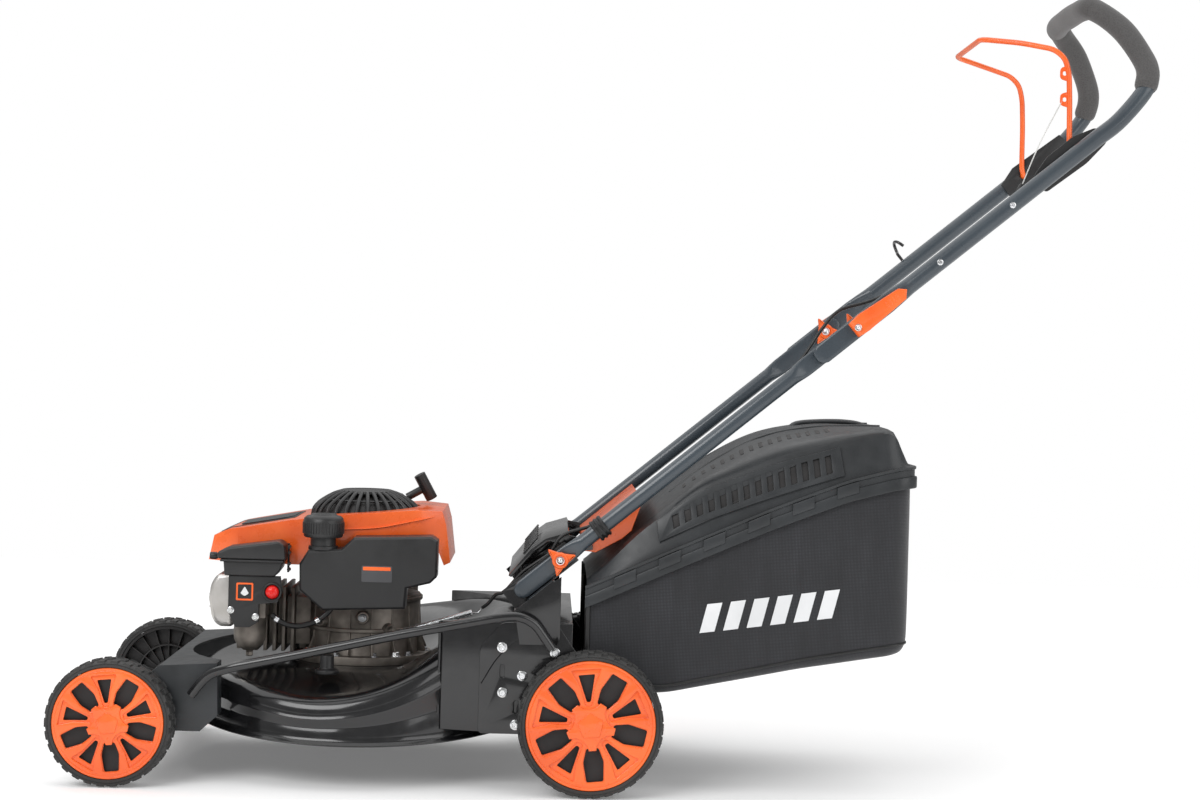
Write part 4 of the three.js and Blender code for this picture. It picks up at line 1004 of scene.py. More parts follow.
def sleeve_radius(share):
    from_end = min(share, 1 - share) * len(sleeve)
    return 13.2 + 2.9 * min(1, from_end / 1.5) ** 0.5 + 0.25 * math.sin(share * 40)


foam = swept("foam_sleeve", sleeve, sleeve_radius, 36)
claim(foam, "upper_handle_assembly", "grip_foam", "grip_foam", "foam_grip")
print("foam sleeve:", len(foam.data.vertices), "points")

# %% [markdown]
# ## Levers, knobs and bolts on the handle
# The star knobs and nuts are cut from a rounded three-pointed drawing. The cam levers keep the CAD outline
# with generous moulded radii, and get three finger ribs and the bolt that they turn on.


# %% Brackets, star knobs and star nuts
def star_outline(turn):
    ring = []
    for k in range(6):
        reach = 10 if k % 2 else 24.8
        angle = math.radians(60 * k + turn)
        ring.append((reach * math.cos(angle), reach * math.sin(angle)))
    return rounded_ring(ring, 4.5, 6)


def cap_nut(name, point, direction, size):
    return turned(name, point, direction, [(0, -1), (size * 0.62, -1), (size * 0.62, 1), (size * 0.5, 1.2),
                                           (size * 0.5, size * 0.42), (size * 0.44, size * 0.62),
                                           (size * 0.25, size * 0.8), (0, size * 0.86)], 24)


for side_name, side in (("left", -1), ("right", 1)):
    claim(eased(f"handle_bracket_{side_name}", 1.0), "mower_base", "black_paint", "black_paint",
          f"handle_bracket_{side_name}")
    for node_name, spot, inner, direction, turn in (
            ("star_knob", STAR_AT, LOWER_Y + 4.8, 1, 100), ("star_nut", CAM_AT, LOWER_Y - 4.8, -1, 80)):
        body = f"{node_name}_{side_name}_body"
        face = handle_face(spot, side * inner, side * direction)
        star = plate("star", star_outline(turn), [], 8.6, 2.4, face)
        boss = turned("boss", along(spot, side * inner), (0, side * direction, 0),
                      [(0, 6), (11.5, 6), (11.5, 9.6), (10.4, 10.7), (8.2, 10.7), (7.6, 9.2), (0, 9.2)], 40)
        knob = joined(f"{node_name}_{side_name}_moulding", [star, boss], math.radians(35))
        claim(knob, body, "orange_plastic", "orange_plastic", f"{node_name}_{side_name}")
        nut = cap_nut(f"{node_name}_{side_name}_bolt", along(spot, side * (inner + direction * 9.2)),
                      (0, side * direction, 0), 9.5)
        claim(nut, body, "zinc", "zinc")
print("star knobs and nuts done")


# %% Cam levers
LEVER_FACE_Y = LAP_Y + FLAT + 0.3 + 15.6
for side_name, side in (("left", -1), ("right", 1)):
    body = f"cam_lever_{side_name}_body"
    lever = eased(f"cam_lever_{side_name}", 2.6, 4)
    claim(lever, body, "orange_plastic", "orange_plastic", f"cam_lever_{side_name}")
    rib_ring = rounded_ring([(-1.3, -5), (1.3, -5), (1.3, 5), (-1.3, 5)], 1.2)
    rib = plate("lever_rib", rib_ring, [], 1.4, 0.6, lambda u, v, w: Vector((u, v, w)))
    stand = facing((0, 1, 0))
    if side < 0:
        lengthways, upright = along(1, 0) - along(0, 0), along(0, 0, 1) - along(0, 0, 0)
        stand = Matrix((lengthways / MM, upright / MM, Vector((0, side, 0)))).transposed()
    places = [(along(CAM_AT + s, side * (LEVER_FACE_Y - 0.9), 0), stand, (MM, MM, MM)) for s in (52, 58, 64,
                                                                                                 70)]
    ribs = repeat(f"lever_ribs_{side_name}", rib, places, "orange_plastic")
    claim(ribs, body, "orange_plastic", "orange_plastic")
    claim(cap_nut(f"cam_bolt_{side_name}", along(CAM_AT, side * (LEVER_FACE_Y - 0.4)), (0, side, 0), 8),
          body, "zinc", "zinc")
tube_bolts = [(along(745, side * (UPPER_Y + 11.6)), (0, side, 0)) for side in (-1, 1)]
tube_bolts += [(along(875, side * (UPPER_Y + 11.6)), (0, side, 0)) for side in (-1, 1)]
bolts_at("handle_rivets", tube_bolts, 9, "upper_handle_assembly")

# %% [markdown]
# ## Bail, bracket and rope guide
# The bail is a single bent wire with a plastic coat. Two flat eyes on its left leg take the brake wire,
# which runs down to the cable in its black sleeve.

# %% Bail
BAIL = [(1320, 157, 926), (1319, 155, 990), (1317, 155, 1032), (1311, 153, 1054), (1296, 148, 1067),
        (1253, 130, 1077), (1201, 94, 1086)]
pin = along(BAIL_AT, 0)
feet = [Vector((pin.x, 0.172, pin.z)), Vector((pin.x, 0.159, pin.z))]
bail_path = rounded_route(both_sides([*feet, *[at(*p) for p in BAIL]]), 14)
bail_wire = swept("bail_bar", bail_path, 3.9, 18)
eyes = []
for x, z in ((1318, 995), (1317, 1032)):
    hole = rounded_ring([(x - 9, z - 3), (x - 4, z - 3), (x - 4, z + 3), (x - 9, z + 3)], 3)
    outline = rounded_ring([(x - 13, z - 8), (x + 1, z - 12), (x + 1, z + 12), (x - 13, z + 8)], 5)
    eyes.append(plate("bail_eye", outline, [hole], 2.4, 0.7, upright_at(-156.4, 1)))
claim(joined("bail_wire", [bail_wire, *eyes]), "bail_bar", "orange_paint", "orange_paint", "bail")
claim(eased("bail_bracket", 0.8), "upper_handle_assembly", "black_plastic", "black_plastic", "bail_bracket")
LEFT = -1
bracket_outline = rounded_ring([(-62, -17), (-62, 12), (-30, 22), (18, 22), (52, 12), (52, -14), (10, -20)],
                               6)
bracket_holes = [rounded_ring([(x - 5, -9), (x + 5, -9), (x + 5, 10), (x - 5, 10)], 2) for x in (-48, -32,
    -16, 20, 36)]
inner_plate = plate("brake_lever_plate", bracket_outline, bracket_holes, 3, 0.8,
                    handle_face(BAIL_AT, LEFT * (UPPER_Y - 13.2), -LEFT))
claim(inner_plate, "upper_handle_assembly", "black_plastic", "black_plastic")
guide = [(GUIDE_AT, UPPER_Y, 12.3), (GUIDE_AT, UPPER_Y, 22.3)]
for k in range(8):
    angle = math.radians(-90 + 42 * k)
    guide.append((GUIDE_AT + 2 * k, UPPER_Y + 9 * math.cos(angle), 33.3 + 9 * math.sin(angle)))
claim(swept("rope_guide_wire", smooth_path([along(s, y, t) for s, y, t in guide], 2), 2.4, 14),
      "upper_handle_assembly", "black_paint", "black_paint", "rope_guide")
print("bail, bracket and guide done")

# %% [markdown]
# ## Brake cable
# The cable is held along the left tube all the way, so it isn't a free cord. It crosses two hinges. It is
# drawn as two lengths, one over each hinge, which meet on the lower tube.

# %% Brake cable
CABLE_Y = -159.7
UPPER_RUN = [(905, -161, 10), (880, -161.5, 3), (820, -162, 2), (740, -162, 3), (690, -160, 4),
             (640, -157, 15),
             (596, -156, 32), (560, -157, 27), (530, -158, 17), (495, -158, 8), (440, CABLE_Y, 6),
             (360, CABLE_Y, 6), (270, CABLE_Y, 6), (200, CABLE_Y, 7)]
LOWER_RUN = [(200, CABLE_Y, 7), (138, CABLE_Y, 8), (90, CABLE_Y, 24), (60, CABLE_Y, 16), (35, -159, 17),
             (10, -156, 18), (-25, -152, 12)]
ENGINE_END = [(524, -146, 268), (513, -137, 254), (505, -129, 247)]
upper_cable = swept("brake_cable_over_cam", smooth_path([along(*p) for p in UPPER_RUN]), 2.5, 14)
upper_cable.data.materials.append(FINISH["cable_black"])
along(556, -157, 27)
along(636, -157, 15)
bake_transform(upper_cable)
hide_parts("brake_cable_upper")
lower_points = [*[along(*p) for p in LOWER_RUN], *[at(*p) for p in ENGINE_END]]
lower_cable = swept("brake_cable_over_hinge", smooth_path(lower_points), 2.5, 14)
lower_cable.data.materials.append(FINISH["cable_black"])
along(62, CABLE_Y, 16)
along(-25, -152, 12)
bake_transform(lower_cable)
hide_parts("brake_cable_lower", "brake_cable_engine")
wire = swept("brake_wire",
             smooth_path([at(1309, -155.5, 995), at(1278, -157, 932), along(905, -161, 10)], 3), 0.9, 8)
wire.data.materials.append(FINISH["white_cord"])
along(905, -161, 10)
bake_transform(wire)
ferrule = turned("cable_ferrule", along(902, -161, 9.2), along(930, -161, 20) - along(905, -161, 10),
                 [(0, -8), (3.6, -8), (4.2, -6), (4.2, 6), (3.2, 9), (1.4, 9), (0, 9)], 24)
claim(ferrule, "upper_handle_assembly", "black_plastic", "black_plastic")
clamp = [eased("cable_clamp", 0.9)]
for place in (CLAMP_AT - 6.5, CLAMP_AT, CLAMP_AT + 6.5):
    clamp.append(turned("clamp_ring", along(place, -LOWER_Y), along(1, 0) - along(0, 0),
                        [(14.6, -2.2), (16.2, -1.6), (16.6, 0), (16.2, 1.6), (14.6, 2.2)], 40))
claim(joined("cable_clamp_ribbed", clamp), "lower_handle", "black_plastic", "black_plastic", "cable_clamp")
print("cable lengths done")

# %% [markdown]
# ## The engine: castings
# Crankcase and finned cylinder are one rough casting. The CAD shape is kept and its edges eased, because
# draft and fillets are what make metal look cast. Bosses, ribs and flange bolts are added on top of it.

# %% Crankcase details
CRANK = at(325, 0, 0)
block = eased("engine_block", 1.2)
extras = []
for degrees, height, radius in ((-86, 223, 9), (-128, 214, 7), (-60, 205, 8), (150, 222, 9), (35, 210, 8)):
    out = Vector((math.cos(math.radians(degrees)), math.sin(math.radians(degrees)), 0))
    foot = CRANK + out * (80 * MM) + Vector((0, 0, height * MM))
    extras.append(turned("boss",
                         foot,
                         out, [(0, 0), (radius + 2, 0), (radius + 1, 6), (radius, 12), (radius - 1, 13),
                                             (radius * 0.45, 13), (radius * 0.4, 9), (0, 9)], 28))
for degrees in range(-165, 180, 22):
    out = Vector((math.cos(math.radians(degrees)), math.sin(math.radians(degrees)), 0))
    side_way = Vector((-out.y, out.x, 0))
    ring = [(80, 168), (95, 168), (95, 172), (87, 190), (84, 236), (80, 240)]
    extras.append(plate("case_rib", ring, [], 3.4, 1.0, lambda u, v, w, out=out, side_way=side_way:
                        CRANK + out * (u * MM) + side_way * ((w - 1.7) * MM) + Vector((0, 0, v * MM))))
for height in (200, 243):
    extras.append(turned("case_belt", CRANK, (0, 0, 1), [(80, height), (86.5, height), (87, height + 1),
                                                         (87, height + 5), (86, height + 6),
                                                         (80, height + 6)], 72))
casting = joined("crankcase_casting", [block, *extras], math.radians(38))
claim(casting, "mower_base", "cast_alloy", "cast_alloy", "engine_block")
case_bolts = [(CRANK + Vector((math.cos(math.radians(a)) * 0.092, math.sin(math.radians(a)) * 0.092,
                               0.1664)), (0, 0, 1))
              for a in (-150, -110, -75, -40, 0, 60, 150)]
case_bolts += [(at(331, -93.4, 223), (0, -1, 0))]
bolts_at("case_bolts", case_bolts, 12, "mower_base", "steel")
print("castings and bolts done")

# %% [markdown]
# ## Blower housing and recoil starter
# The orange housing is thin moulded plastic with soft folds, and a dark inlay runs over its front. The
# recoil cover on top is a cage: radial ribs leave slots for the cooling air, between a flat button and a
# rim. One rib is swept along the dome and repeated round the crank.

# %% Blower housing
housing = eased("blower_housing", 4.0, 4, 24)
claim(housing, "mower_base", "orange_plastic", "orange_plastic", "blower_housing")
SHROUD_TOP = [(104, 300), (112, 336), (136, 347), (228, 364), (300, 373), (404, 382), (442, 380)]


def shroud_top(x):
    xs, zs = zip(*SHROUD_TOP)
    return float(np.interp(x, xs, zs))


def strip(name, corners, lift, thickness, rounding=6):
    """A plate drawn in X and Y that lies along the housing's top."""
    ring = rounded_ring(corners, rounding)
    return plate(name, ring, [], thickness, 0.4, lambda u, v, w: at(u, v, shroud_top(u) + lift + w))


inlay = [strip("inlay", [(118, -52), (140, -72), (228, -70), (228, 70), (140, 72), (118, 52)], -1.2, 2.2),
         strip("inlay_step", [(146, -44), (224, -48), (224, 48), (146, 44)], 0.6, 1.6)]
claim(joined("housing_inlay", inlay), "mower_base", "grey_plastic", "grey_plastic")
folds = []
for y0, y1 in ((-113, -104), (119, 110)):
    fold = smooth_path([at(300, y0 * 1.012, 352), at(352, y0 * 1.006, 356), at(400, y0 * 0.99, 366),
                        at(430, y1 * 0.92, 372)], 4)
    folds.append(swept("housing_fold", fold, 2.2, 12, 0.5))
claim(joined("housing_folds", folds), "mower_base", "orange_plastic", "orange_plastic")


# %% Recoil cage
CAGE_CURVE = [(78.5, 362), (79.6, 364), (79, 370), (77, 376), (70, 384), (60, 391), (48, 397.5),
              (36, 401.5)]
cage_rib_path = smooth_path([Vector((r * MM, 0, (z - 0.2) * MM)) for r, z in CAGE_CURVE], 3)
rib = swept("cage_rib", cage_rib_path, 3.0, 10, 0.9)
places = [(CRANK, Matrix.Rotation(math.radians(12 * k), 3, "Z"), (1, 1, 1)) for k in range(30)]
ribs = repeat("cage_ribs", rib, places, "black_plastic")
button = turned("cage_button",
                CRANK, (0, 0, 1), [(0, 397), (38, 397), (41, 399), (40, 402.4), (36, 404), (30, 404.2),
                                                  (29, 403.2), (0, 403)], 96)
rim_ring = turned("cage_rim", CRANK, (0, 0, 1), [(74, 361), (80, 361), (80, 368), (78, 370), (75, 369)], 96)
mid_ring = turned("cage_band", CRANK, (0, 0, 1), [(60.5, 388), (62, 389.4), (60.4, 390.6), (58.8, 389.2)],
                  96)
cage = joined("recoil_cage", [ribs, button, rim_ring, mid_ring], math.radians(38))
claim(cage, "mower_base", "black_plastic", "black_plastic", "recoil_cover")
# A dark turned sheet under the cage fills its slots: painted shade of the starter's inside.
inside = turned("recoil_inside",
                CRANK, (0, 0, 1), [(76, 361), (75, 370), (66, 381), (54, 389), (36, 396), (0, 397),
                                                    (0, 394), (36, 393), (52, 386), (62, 379), (72, 368),
                                                    (73, 361)], 72)
claim(inside, "mower_base", "dark_inside", "black_plastic")
print("cage ribs:", len(places))

# %% Starter grip and rope
ROPE_EXIT, PULL = (382, 44, 391), Vector((0.862, 0.132, 0.489)).normalized()
grip = eased("starter_grip", 3.0, 4)
claim(grip, "starter_pull", "black_plastic", "black_plastic", "starter_grip")
mouth_point = at(*ROPE_EXIT)
rope_path = [mouth_point + PULL * (d * MM) for d in np.linspace(-26, 6, 34)]
rope = swept("starter_rope", rope_path, 2.0, 12)
rope.data.materials.append(FINISH["white_cord"])
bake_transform(rope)
bezel = turned("rope_bezel", mouth_point - PULL * 0.012, PULL,
               [(4.2, -14), (13, -14), (12, 2), (9, 8), (6, 9.4),
                                                               (3.4, 8), (3.2, 0)], 36)
claim(bezel, "mower_base", "black_plastic", "black_plastic")
print("starter grip, rope and its eye done")

# %% [markdown]
# ## Fuel tank, cap, air filter and carburettor
# These mouldings face the user. Their CAD shapes are right, so each is eased with the radius its mould
# would have, and gets its seams, straps, screws and plain labels as separate thin pieces.

# %% Tank and cap
claim(eased("fuel_tank", 4.2, 4, 24), "mower_base", "black_plastic", "black_plastic", "fuel_tank")
FINISH["print_white"] = finish("print_white", (0.72, 0.73, 0.74), (0.82, 0.83, 0.84), 0.55, 900, 0.06)
FINISH["label_grey"] = finish("label_grey", (0.055, 0.055, 0.06), (0.07, 0.07, 0.075), 0.5, 600, 0.02)
FINISH["label_orange"] = finish("label_orange", ORANGE_DARK, ORANGE_LIGHT, 0.5, 600, 0.02)


def upright_face(face_y, lift):
    """For plates that lie on a moulding's left face, lifted clear of it."""
    return lambda u, v, w: at(u, face_y - lift - w, v)


TANK_FACE_Y, PANEL_FACE_Y = -168, -164
patch = plate("label", rounded_ring([(334, 283), (377, 283), (377, 306), (334, 306)], 2), [], 0.5, 0.1,
              upright_face(TANK_FACE_Y, 0))
claim(patch, "mower_base", "label_grey", "black_plastic")
header = plate("label_header", rounded_ring([(336, 299.5), (375, 299.5), (375, 304.5), (336, 304.5)], 1),
               [], 0.3, 0.05,
               upright_face(TANK_FACE_Y, 0.5))
claim(header, "mower_base", "label_orange", "orange_plastic")
NECK = at(277, -148, 0)
cap_body = turned("cap_body",
                  NECK, (0, 0, 1), [(18.6, 343.4), (26, 343.4), (27.6, 345), (28.6, 353), (29, 365),
                                                (27.4, 370.5), (24, 373.5), (19, 374.6), (17, 376.6),
                                                (12, 377.2),
                                                (11, 376), (0, 376), (0, 352), (18.6, 352)], 72)
knurl = build("knurl",
              [(-0.5, -0.4, 0), (0.5, -0.4, 0), (0.3, 0.4, 0), (-0.3, 0.4, 0), (-0.5, -0.4, 1),
               (0.5, -0.4, 1),
                        (0.3, 0.4, 0.9), (-0.3, 0.4, 0.9)],
              [(0, 1, 2, 3), (4, 5, 6, 7), (0, 1, 5, 4), (1, 2, 6, 5), (2, 3, 7, 6), (3, 0, 4, 7)])
knurl_places = []
for k in range(44):
    angle = 2 * math.pi * k / 44
    out = Vector((math.cos(angle), math.sin(angle), 0))
    knurl_places.append((NECK + out * (28.4 * MM) + Vector((0, 0, 0.349)),
                         Matrix.Rotation(angle - math.pi / 2, 3, "Z"),
                         (2.2 * MM, 3.0 * MM, 17 * MM)))
cap = joined("fuel_cap_moulding", [cap_body, repeat("knurls", knurl, knurl_places, "black_plastic")])
claim(cap, "fuel_filler_cap", "black_plastic", "black_plastic", "fuel_cap")
neck_ring = turned("neck_ring",
                   NECK, (0, 0, 1), [(18.1, 326), (20.6, 326), (21, 328), (20.4, 331), (18.1, 331.6)], 48)
claim(neck_ring, "mower_base", "black_plastic", "black_plastic")
print("tank, cap and labels done")

# %% Air filter and its latch
claim(eased("air_filter_cover", 3.4, 4, 20), "filter_lid", "black_plastic", "black_plastic",
      "air_filter_cover")
claim(eased("air_filter_base", 2.2, 3), "mower_base", "black_plastic", "black_plastic", "air_filter_base")
lip = rounded_ring([(135, 306.8), (224, 306.8), (224, 310), (135, 310)], 1.2)
lid_edge = [plate("filter_lip", lip, [], 48, 1.0, lambda u, v, w: at(u, -171 + w, v))]
details = []
strap = [at(228.5, -147, z) for z in (292, 300, 312, 324, 333)]
details.append(swept("latch_strap", strap, 3.2, 10, 0.5))
for z in (296, 304, 320, 328):
    details.append(turned("latch_bead", at(229.5, -147, z), (0, 1, 0),
                          [(0, -6), (2.2, -6), (2.6, -4), (2.6, 4),
                                                                      (2.2, 6), (0, 6)], 16))
lid_edge.append(turned("filter_lug", at(124, -150, 313), (1, 0, 0),
                       [(0, -6), (4.4, -6), (5.2, -4.6), (5.2, 3), (4, 5),
                                                                  (0, 9)], 24))
claim(joined("filter_lid_edge", lid_edge), "filter_lid", "black_plastic", "black_plastic")
claim(joined("filter_latch", details), "mower_base", "black_plastic", "black_plastic")

# %% Carburettor, its cover and the primer
claim(eased("carburettor_cover", 1.8, 3), "mower_base", "black_plastic", "black_plastic",
      "carburettor_cover")
PRIMER_X, PRIMER_Z = 209, 265


def primer_circle(radius, points):
    turn = np.linspace(0, 2 * math.pi, points, endpoint=False)
    return [(PRIMER_X + radius * math.cos(a), PRIMER_Z + radius * math.sin(a)) for a in turn]


collar_ring = primer_circle(13.4, 40)
collar_hole = primer_circle(10.4, 36)
claim(plate("primer_collar", collar_ring, [collar_hole], 4.2, 1.2, upright_face(PANEL_FACE_Y, -0.4)),
      "mower_base", "black_plastic",
      "black_plastic")
primer = turned("primer_dome", at(PRIMER_X, -163, PRIMER_Z), (0, -1, 0),
                [(0, 0), (9.4, 0), (9.4, 5), (8.8, 7.2), (7.2, 9.2),
                                                                (4.6, 10.6), (2, 11), (1.6, 10.4),
                                                                (0, 10.2)], 48)
claim(primer, "primer_button", "primer_red", "primer_red", "primer_bulb")
frame_out = rounded_ring([(158, 252), (182, 252), (182, 277), (158, 277)], 2)
frame_in = rounded_ring([(160.4, 254.4), (179.6, 254.4), (179.6, 274.6), (160.4, 274.6)], 1.4)
claim(plate("decal_frame", frame_out, [frame_in], 0.6, 0.15, upright_face(PANEL_FACE_Y, 0)), "mower_base",
      "label_orange",
      "orange_plastic")
leaf = [plate("decal_mark", rounded_ring([(164, 262), (170, 272), (176, 262), (170, 258)], 2), [], 0.4, 0.1,
              upright_face(PANEL_FACE_Y, 0))]
claim(joined("decal_mark_white", leaf), "mower_base", "print_white", "black_plastic")
cover_screws = [(at(151, -164, 238), (0, -1, 0)), (at(186, -164, 229), (0, -1, 0))]
bolts_at("cover_screws", cover_screws, 10.5, "mower_base")
carb = joined("carburettor_casting",
              [eased("carburettor", 1.4), turned("float_bowl", at(174, -127, 0), (0, 0, 1), [
    (0, 175), (5, 175), (5, 179), (12, 180), (18, 185), (22, 193), (23, 199), (23, 222), (25, 223.4),
    (25, 227),
    (0, 227)], 60), turned("bowl_nut", at(174, -127, 0), (0, 0, 1),
                           [(0, 169), (4.6, 169), (5.4, 170.4), (5.4, 176),
                                                                    (0, 176)], 6)])
claim(carb, "mower_base", "cast_alloy", "cast_alloy", "carburettor")
print("filter and carburettor done")

# %% [markdown]
# ## Muffler, hose, dipstick and brake spring
# The muffler guard is a bright pressed shell with louvres. A rubber fuel hose with wire clamps joins tank
# and carburettor. The brake spring is a real coil: a wire swept along a helix between its two hooks.

# %% Muffler, hose and dipstick
claim(eased("muffler", 7.0, 5, 24), "mower_base", "bright_alloy", "bright_alloy", "muffler")
louvre = swept("louvre", [Vector((0, y * MM, 0)) for y in (-11, -10, -5, 0, 5, 10, 11)],
               lambda s: 2.0 - 3 * abs(s - 0.5) ** 3,
               10, 0.6)
louvre_places = [(at(x, y, z), None, (1, 1, 1)) for y in (-62, -30) for x,
                 z in ((108.6, 232), (108.0, 241), (108.0, 250),
                                                                               (109.6, 259))]
claim(repeat("muffler_louvres", louvre, louvre_places, "bright_alloy"), "mower_base", "bright_alloy",
      "bright_alloy")
hose = [at(206, -140, 230), at(213, -140, 224), at(226, -138, 217), at(242, -134, 214), at(258, -130, 217),
        at(272, -126, 223), at(286, -124, 236), at(292, -124, 248)]
hose_piece = swept("fuel_hose", smooth_path(hose, 3), 4.2, 16)
claim(hose_piece, "mower_base", "cable_black", "cable_black")
hose_line = smooth_path(hose, 3)
clamps = []
for k in (3, len(hose_line) - 12):
    spot, ahead = hose_line[k], hose_line[k + 1] - hose_line[k]
    clamps.append(turned("hose_clamp", spot, ahead, [(4.3, -3), (5.2, -3), (5.2, 3), (4.3, 3)], 30))
    _, across, _ = frame_of(ahead)
    clamps.append(swept("clamp_ear", [spot + across * (4.6 * MM), spot + across * (9.5 * MM)], 2.2, 8, 0.4))
claim(joined("hose_clamps", clamps), "mower_base", "zinc", "zinc")
stick = turned("dipstick_cap",
               at(385, 84, 0), (0, 0, 1), [(0, 228), (5, 228), (5.6, 262), (14.6, 262.6), (15, 265),
                                                          (15, 268), (11, 270), (10, 280), (0, 280)], 48)
claim(stick, "dipstick", "black_plastic", "black_plastic", "oil_dipstick")

# %% Brake spring
SPRING_FRONT, SPRING_REAR = at(368, -119, 201), at(496, -121, 240.5)
axis, across, other = frame_of(SPRING_REAR - SPRING_FRONT)
run = (SPRING_REAR - SPRING_FRONT).length
TURNS, COIL_R, WIRE_R = 62, 3.7, 0.85
coil = []
for k in range(TURNS * 10 + 1):
    angle = 2 * math.pi * k / 10
    share = k / (TURNS * 10)
    coil.append(SPRING_FRONT + axis * (run * (0.05 + 0.9 * share)) +
                (across * math.cos(angle) + other * math.sin(angle)) * (COIL_R * MM))
front_hook = [SPRING_FRONT - axis * 0.006, SPRING_FRONT - axis * 0.001 + other * 0.003]
rear_hook = [SPRING_REAR + axis * 0.001 + other * 0.003, SPRING_REAR + axis * 0.006]
spring = swept("brake_spring_coil", [*front_hook, *coil, *rear_hook], WIRE_R, 7)
claim(spring, "mower_base", "zinc", "zinc", "brake_spring")
print("spring wire points:", len(coil))

# %% [markdown]
# ## Rear flap and its hinge
# The orange flap keeps stones in when the bag is off. Under it the hinge plate carries the rod and a row of
# stiffening ribs.

# %% Flap
claim(eased("rear_flap", 3.6, 4, 24), "discharge_flap", "orange_plastic", "orange_plastic", "rear_flap")
claim(eased("flap_hinge", 0.6, 2), "mower_base", "black_paint", "black_paint", "flap_hinge")
rib_item = plate("hinge_rib", rounded_ring([(-2, -16), (2, -16), (2, 16), (-2, 16)], 2), [], 3.0, 1.2,
                 lambda u, v, w: Vector((u, v, w)))
rib_places = [(at(572, y, 336), Matrix.Rotation(-0.9, 3, "Y") @ Matrix.Rotation(math.pi / 2, 3, "Z"),
               (MM, MM, MM))
              for y in (-120, -80, -40, 0, 40, 80, 120)]
claim(repeat("hinge_ribs", rib_item, rib_places, "black_paint"), "mower_base", "black_paint", "black_paint")
print("flap done")

# %% [markdown]
# ## The grass bag
# The bag is a sewn tub of coarse mesh under a moulded hood. The hood's rim is a belt that runs down both
# sides and round the back, with stepped tabs that snap over the cloth. Above it the hood leans in to a soft
# edge and crowns towards the middle. All its lines are functions of X, read from the CAD's outline.

# %% Lines of the bag
BAG_SIDE = 192.0
BACK_X = 1112.0


def line(table):
    xs, zs = zip(*table)
    return lambda x: float(np.mean([np.interp(x + d, xs, zs) for d in (-14, -7, 0, 7, 14)]))


rim_low = line([(640, 252), (780, 316), (915, 376), (1016, 416), (1090, 436), (1150, 441)])
hood_edge = line([(640, 284), (669, 308), (724, 368), (807, 436), (918, 481), (1016, 509), (1060, 519),
                  (1130, 519)])
hood_mid = line([(640, 286), (716, 360), (760, 410), (819, 458), (877, 496), (930, 514), (990, 522),
                 (1130, 520)])
bag_floor = line([(640, 139), (764, 137), (959, 177), (1073, 196), (1130, 203)])
RIM_TALL = 31.0


def rim_path(side_y, back_x, corner, count=12):
    """Left side from the front, round the back, to the middle of the back."""
    path = [(x, -side_y) for x in np.linspace(650, back_x - corner, 44)]
    path += [(back_x - corner + corner * math.sin(a), -side_y + corner - corner * math.cos(a))
             for a in np.linspace(0, math.pi / 2, count)[1:]]
    path += [(back_x, y) for y in np.linspace(-side_y + corner, 0, 18)[1:]]
    return path


def outline_both(path):
    return [*path, *[(x, -y) for x, y in reversed(path[:-1])]]


def path_normals(path):
    normals = []
    for k in range(len(path)):
        (ax, ay), (bx, by) = path[max(k - 1, 0)], path[min(k + 1, len(path) - 1)]
        length = math.hypot(bx - ax, by - ay)
        normals.append(((by - ay) / length, -(bx - ax) / length))
    return normals


# %% Rim belt with its tabs
def belt(name, path, section, z_of):
    """section is [(outwards, up)] in millimetres, drawn round the belt's cross-section."""
    points, faces = [], []
    for (x, y), (nx, ny) in zip(path, path_normals(path)):
        points += [at(x + nx * out, y + ny * out, z_of(x) + up) for out, up in section]
    count = len(section)
    for k in range(len(path) - 1):
        a, b = k * count, (k + 1) * count
        faces += [(a + i, a + (i + 1) % count, b + (i + 1) % count, b + i) for i in range(count)]
    faces += [tuple(range(count)), tuple(range(len(points) - count, len(points)))]
    return build(name, points, faces, math.radians(35))


whole_rim = outline_both(rim_path(BAG_SIDE, BACK_X, 26))
BELT_SECTION = [(-3, 0), (3.2, 0), (4, 1), (4, 15), (3.2, 16.4), (0.6, 17), (0.6, RIM_TALL - 5),
                (2.4, RIM_TALL - 4), (2.6, RIM_TALL - 1), (1.6, RIM_TALL), (-6, RIM_TALL),
                (-6, RIM_TALL - 3), (-3, RIM_TALL - 4)]
hood_parts = [belt("rim_belt", whole_rim, BELT_SECTION, rim_low)]
TAB_STARTS = [690, 752, 814, 876, 938, 1000]
for side in (-1, 1):
    for x in TAB_STARTS:
        run = [(u, side * BAG_SIDE) for u in np.linspace(x, x + 30, 6)]
        if side > 0:
            run = run[::-1]
        hood_parts.append(belt("rim_tab",
                               run, [(0.4, 9), (5.4, 10), (5.8, 12), (5.8, 24), (5.0, 26), (0.4, 26)],
                               rim_low))
print("rim parts:", len(hood_parts))


# %% Hood shell
def hood_wall(x, share):
    """A place on the left side wall: share 0 is on the rim, share 1 at the soft upper edge."""
    base = rim_low(x) + RIM_TALL - 2
    return -(BAG_SIDE - 4) + 17 * share, base + share * max(hood_edge(x) - base, 1)


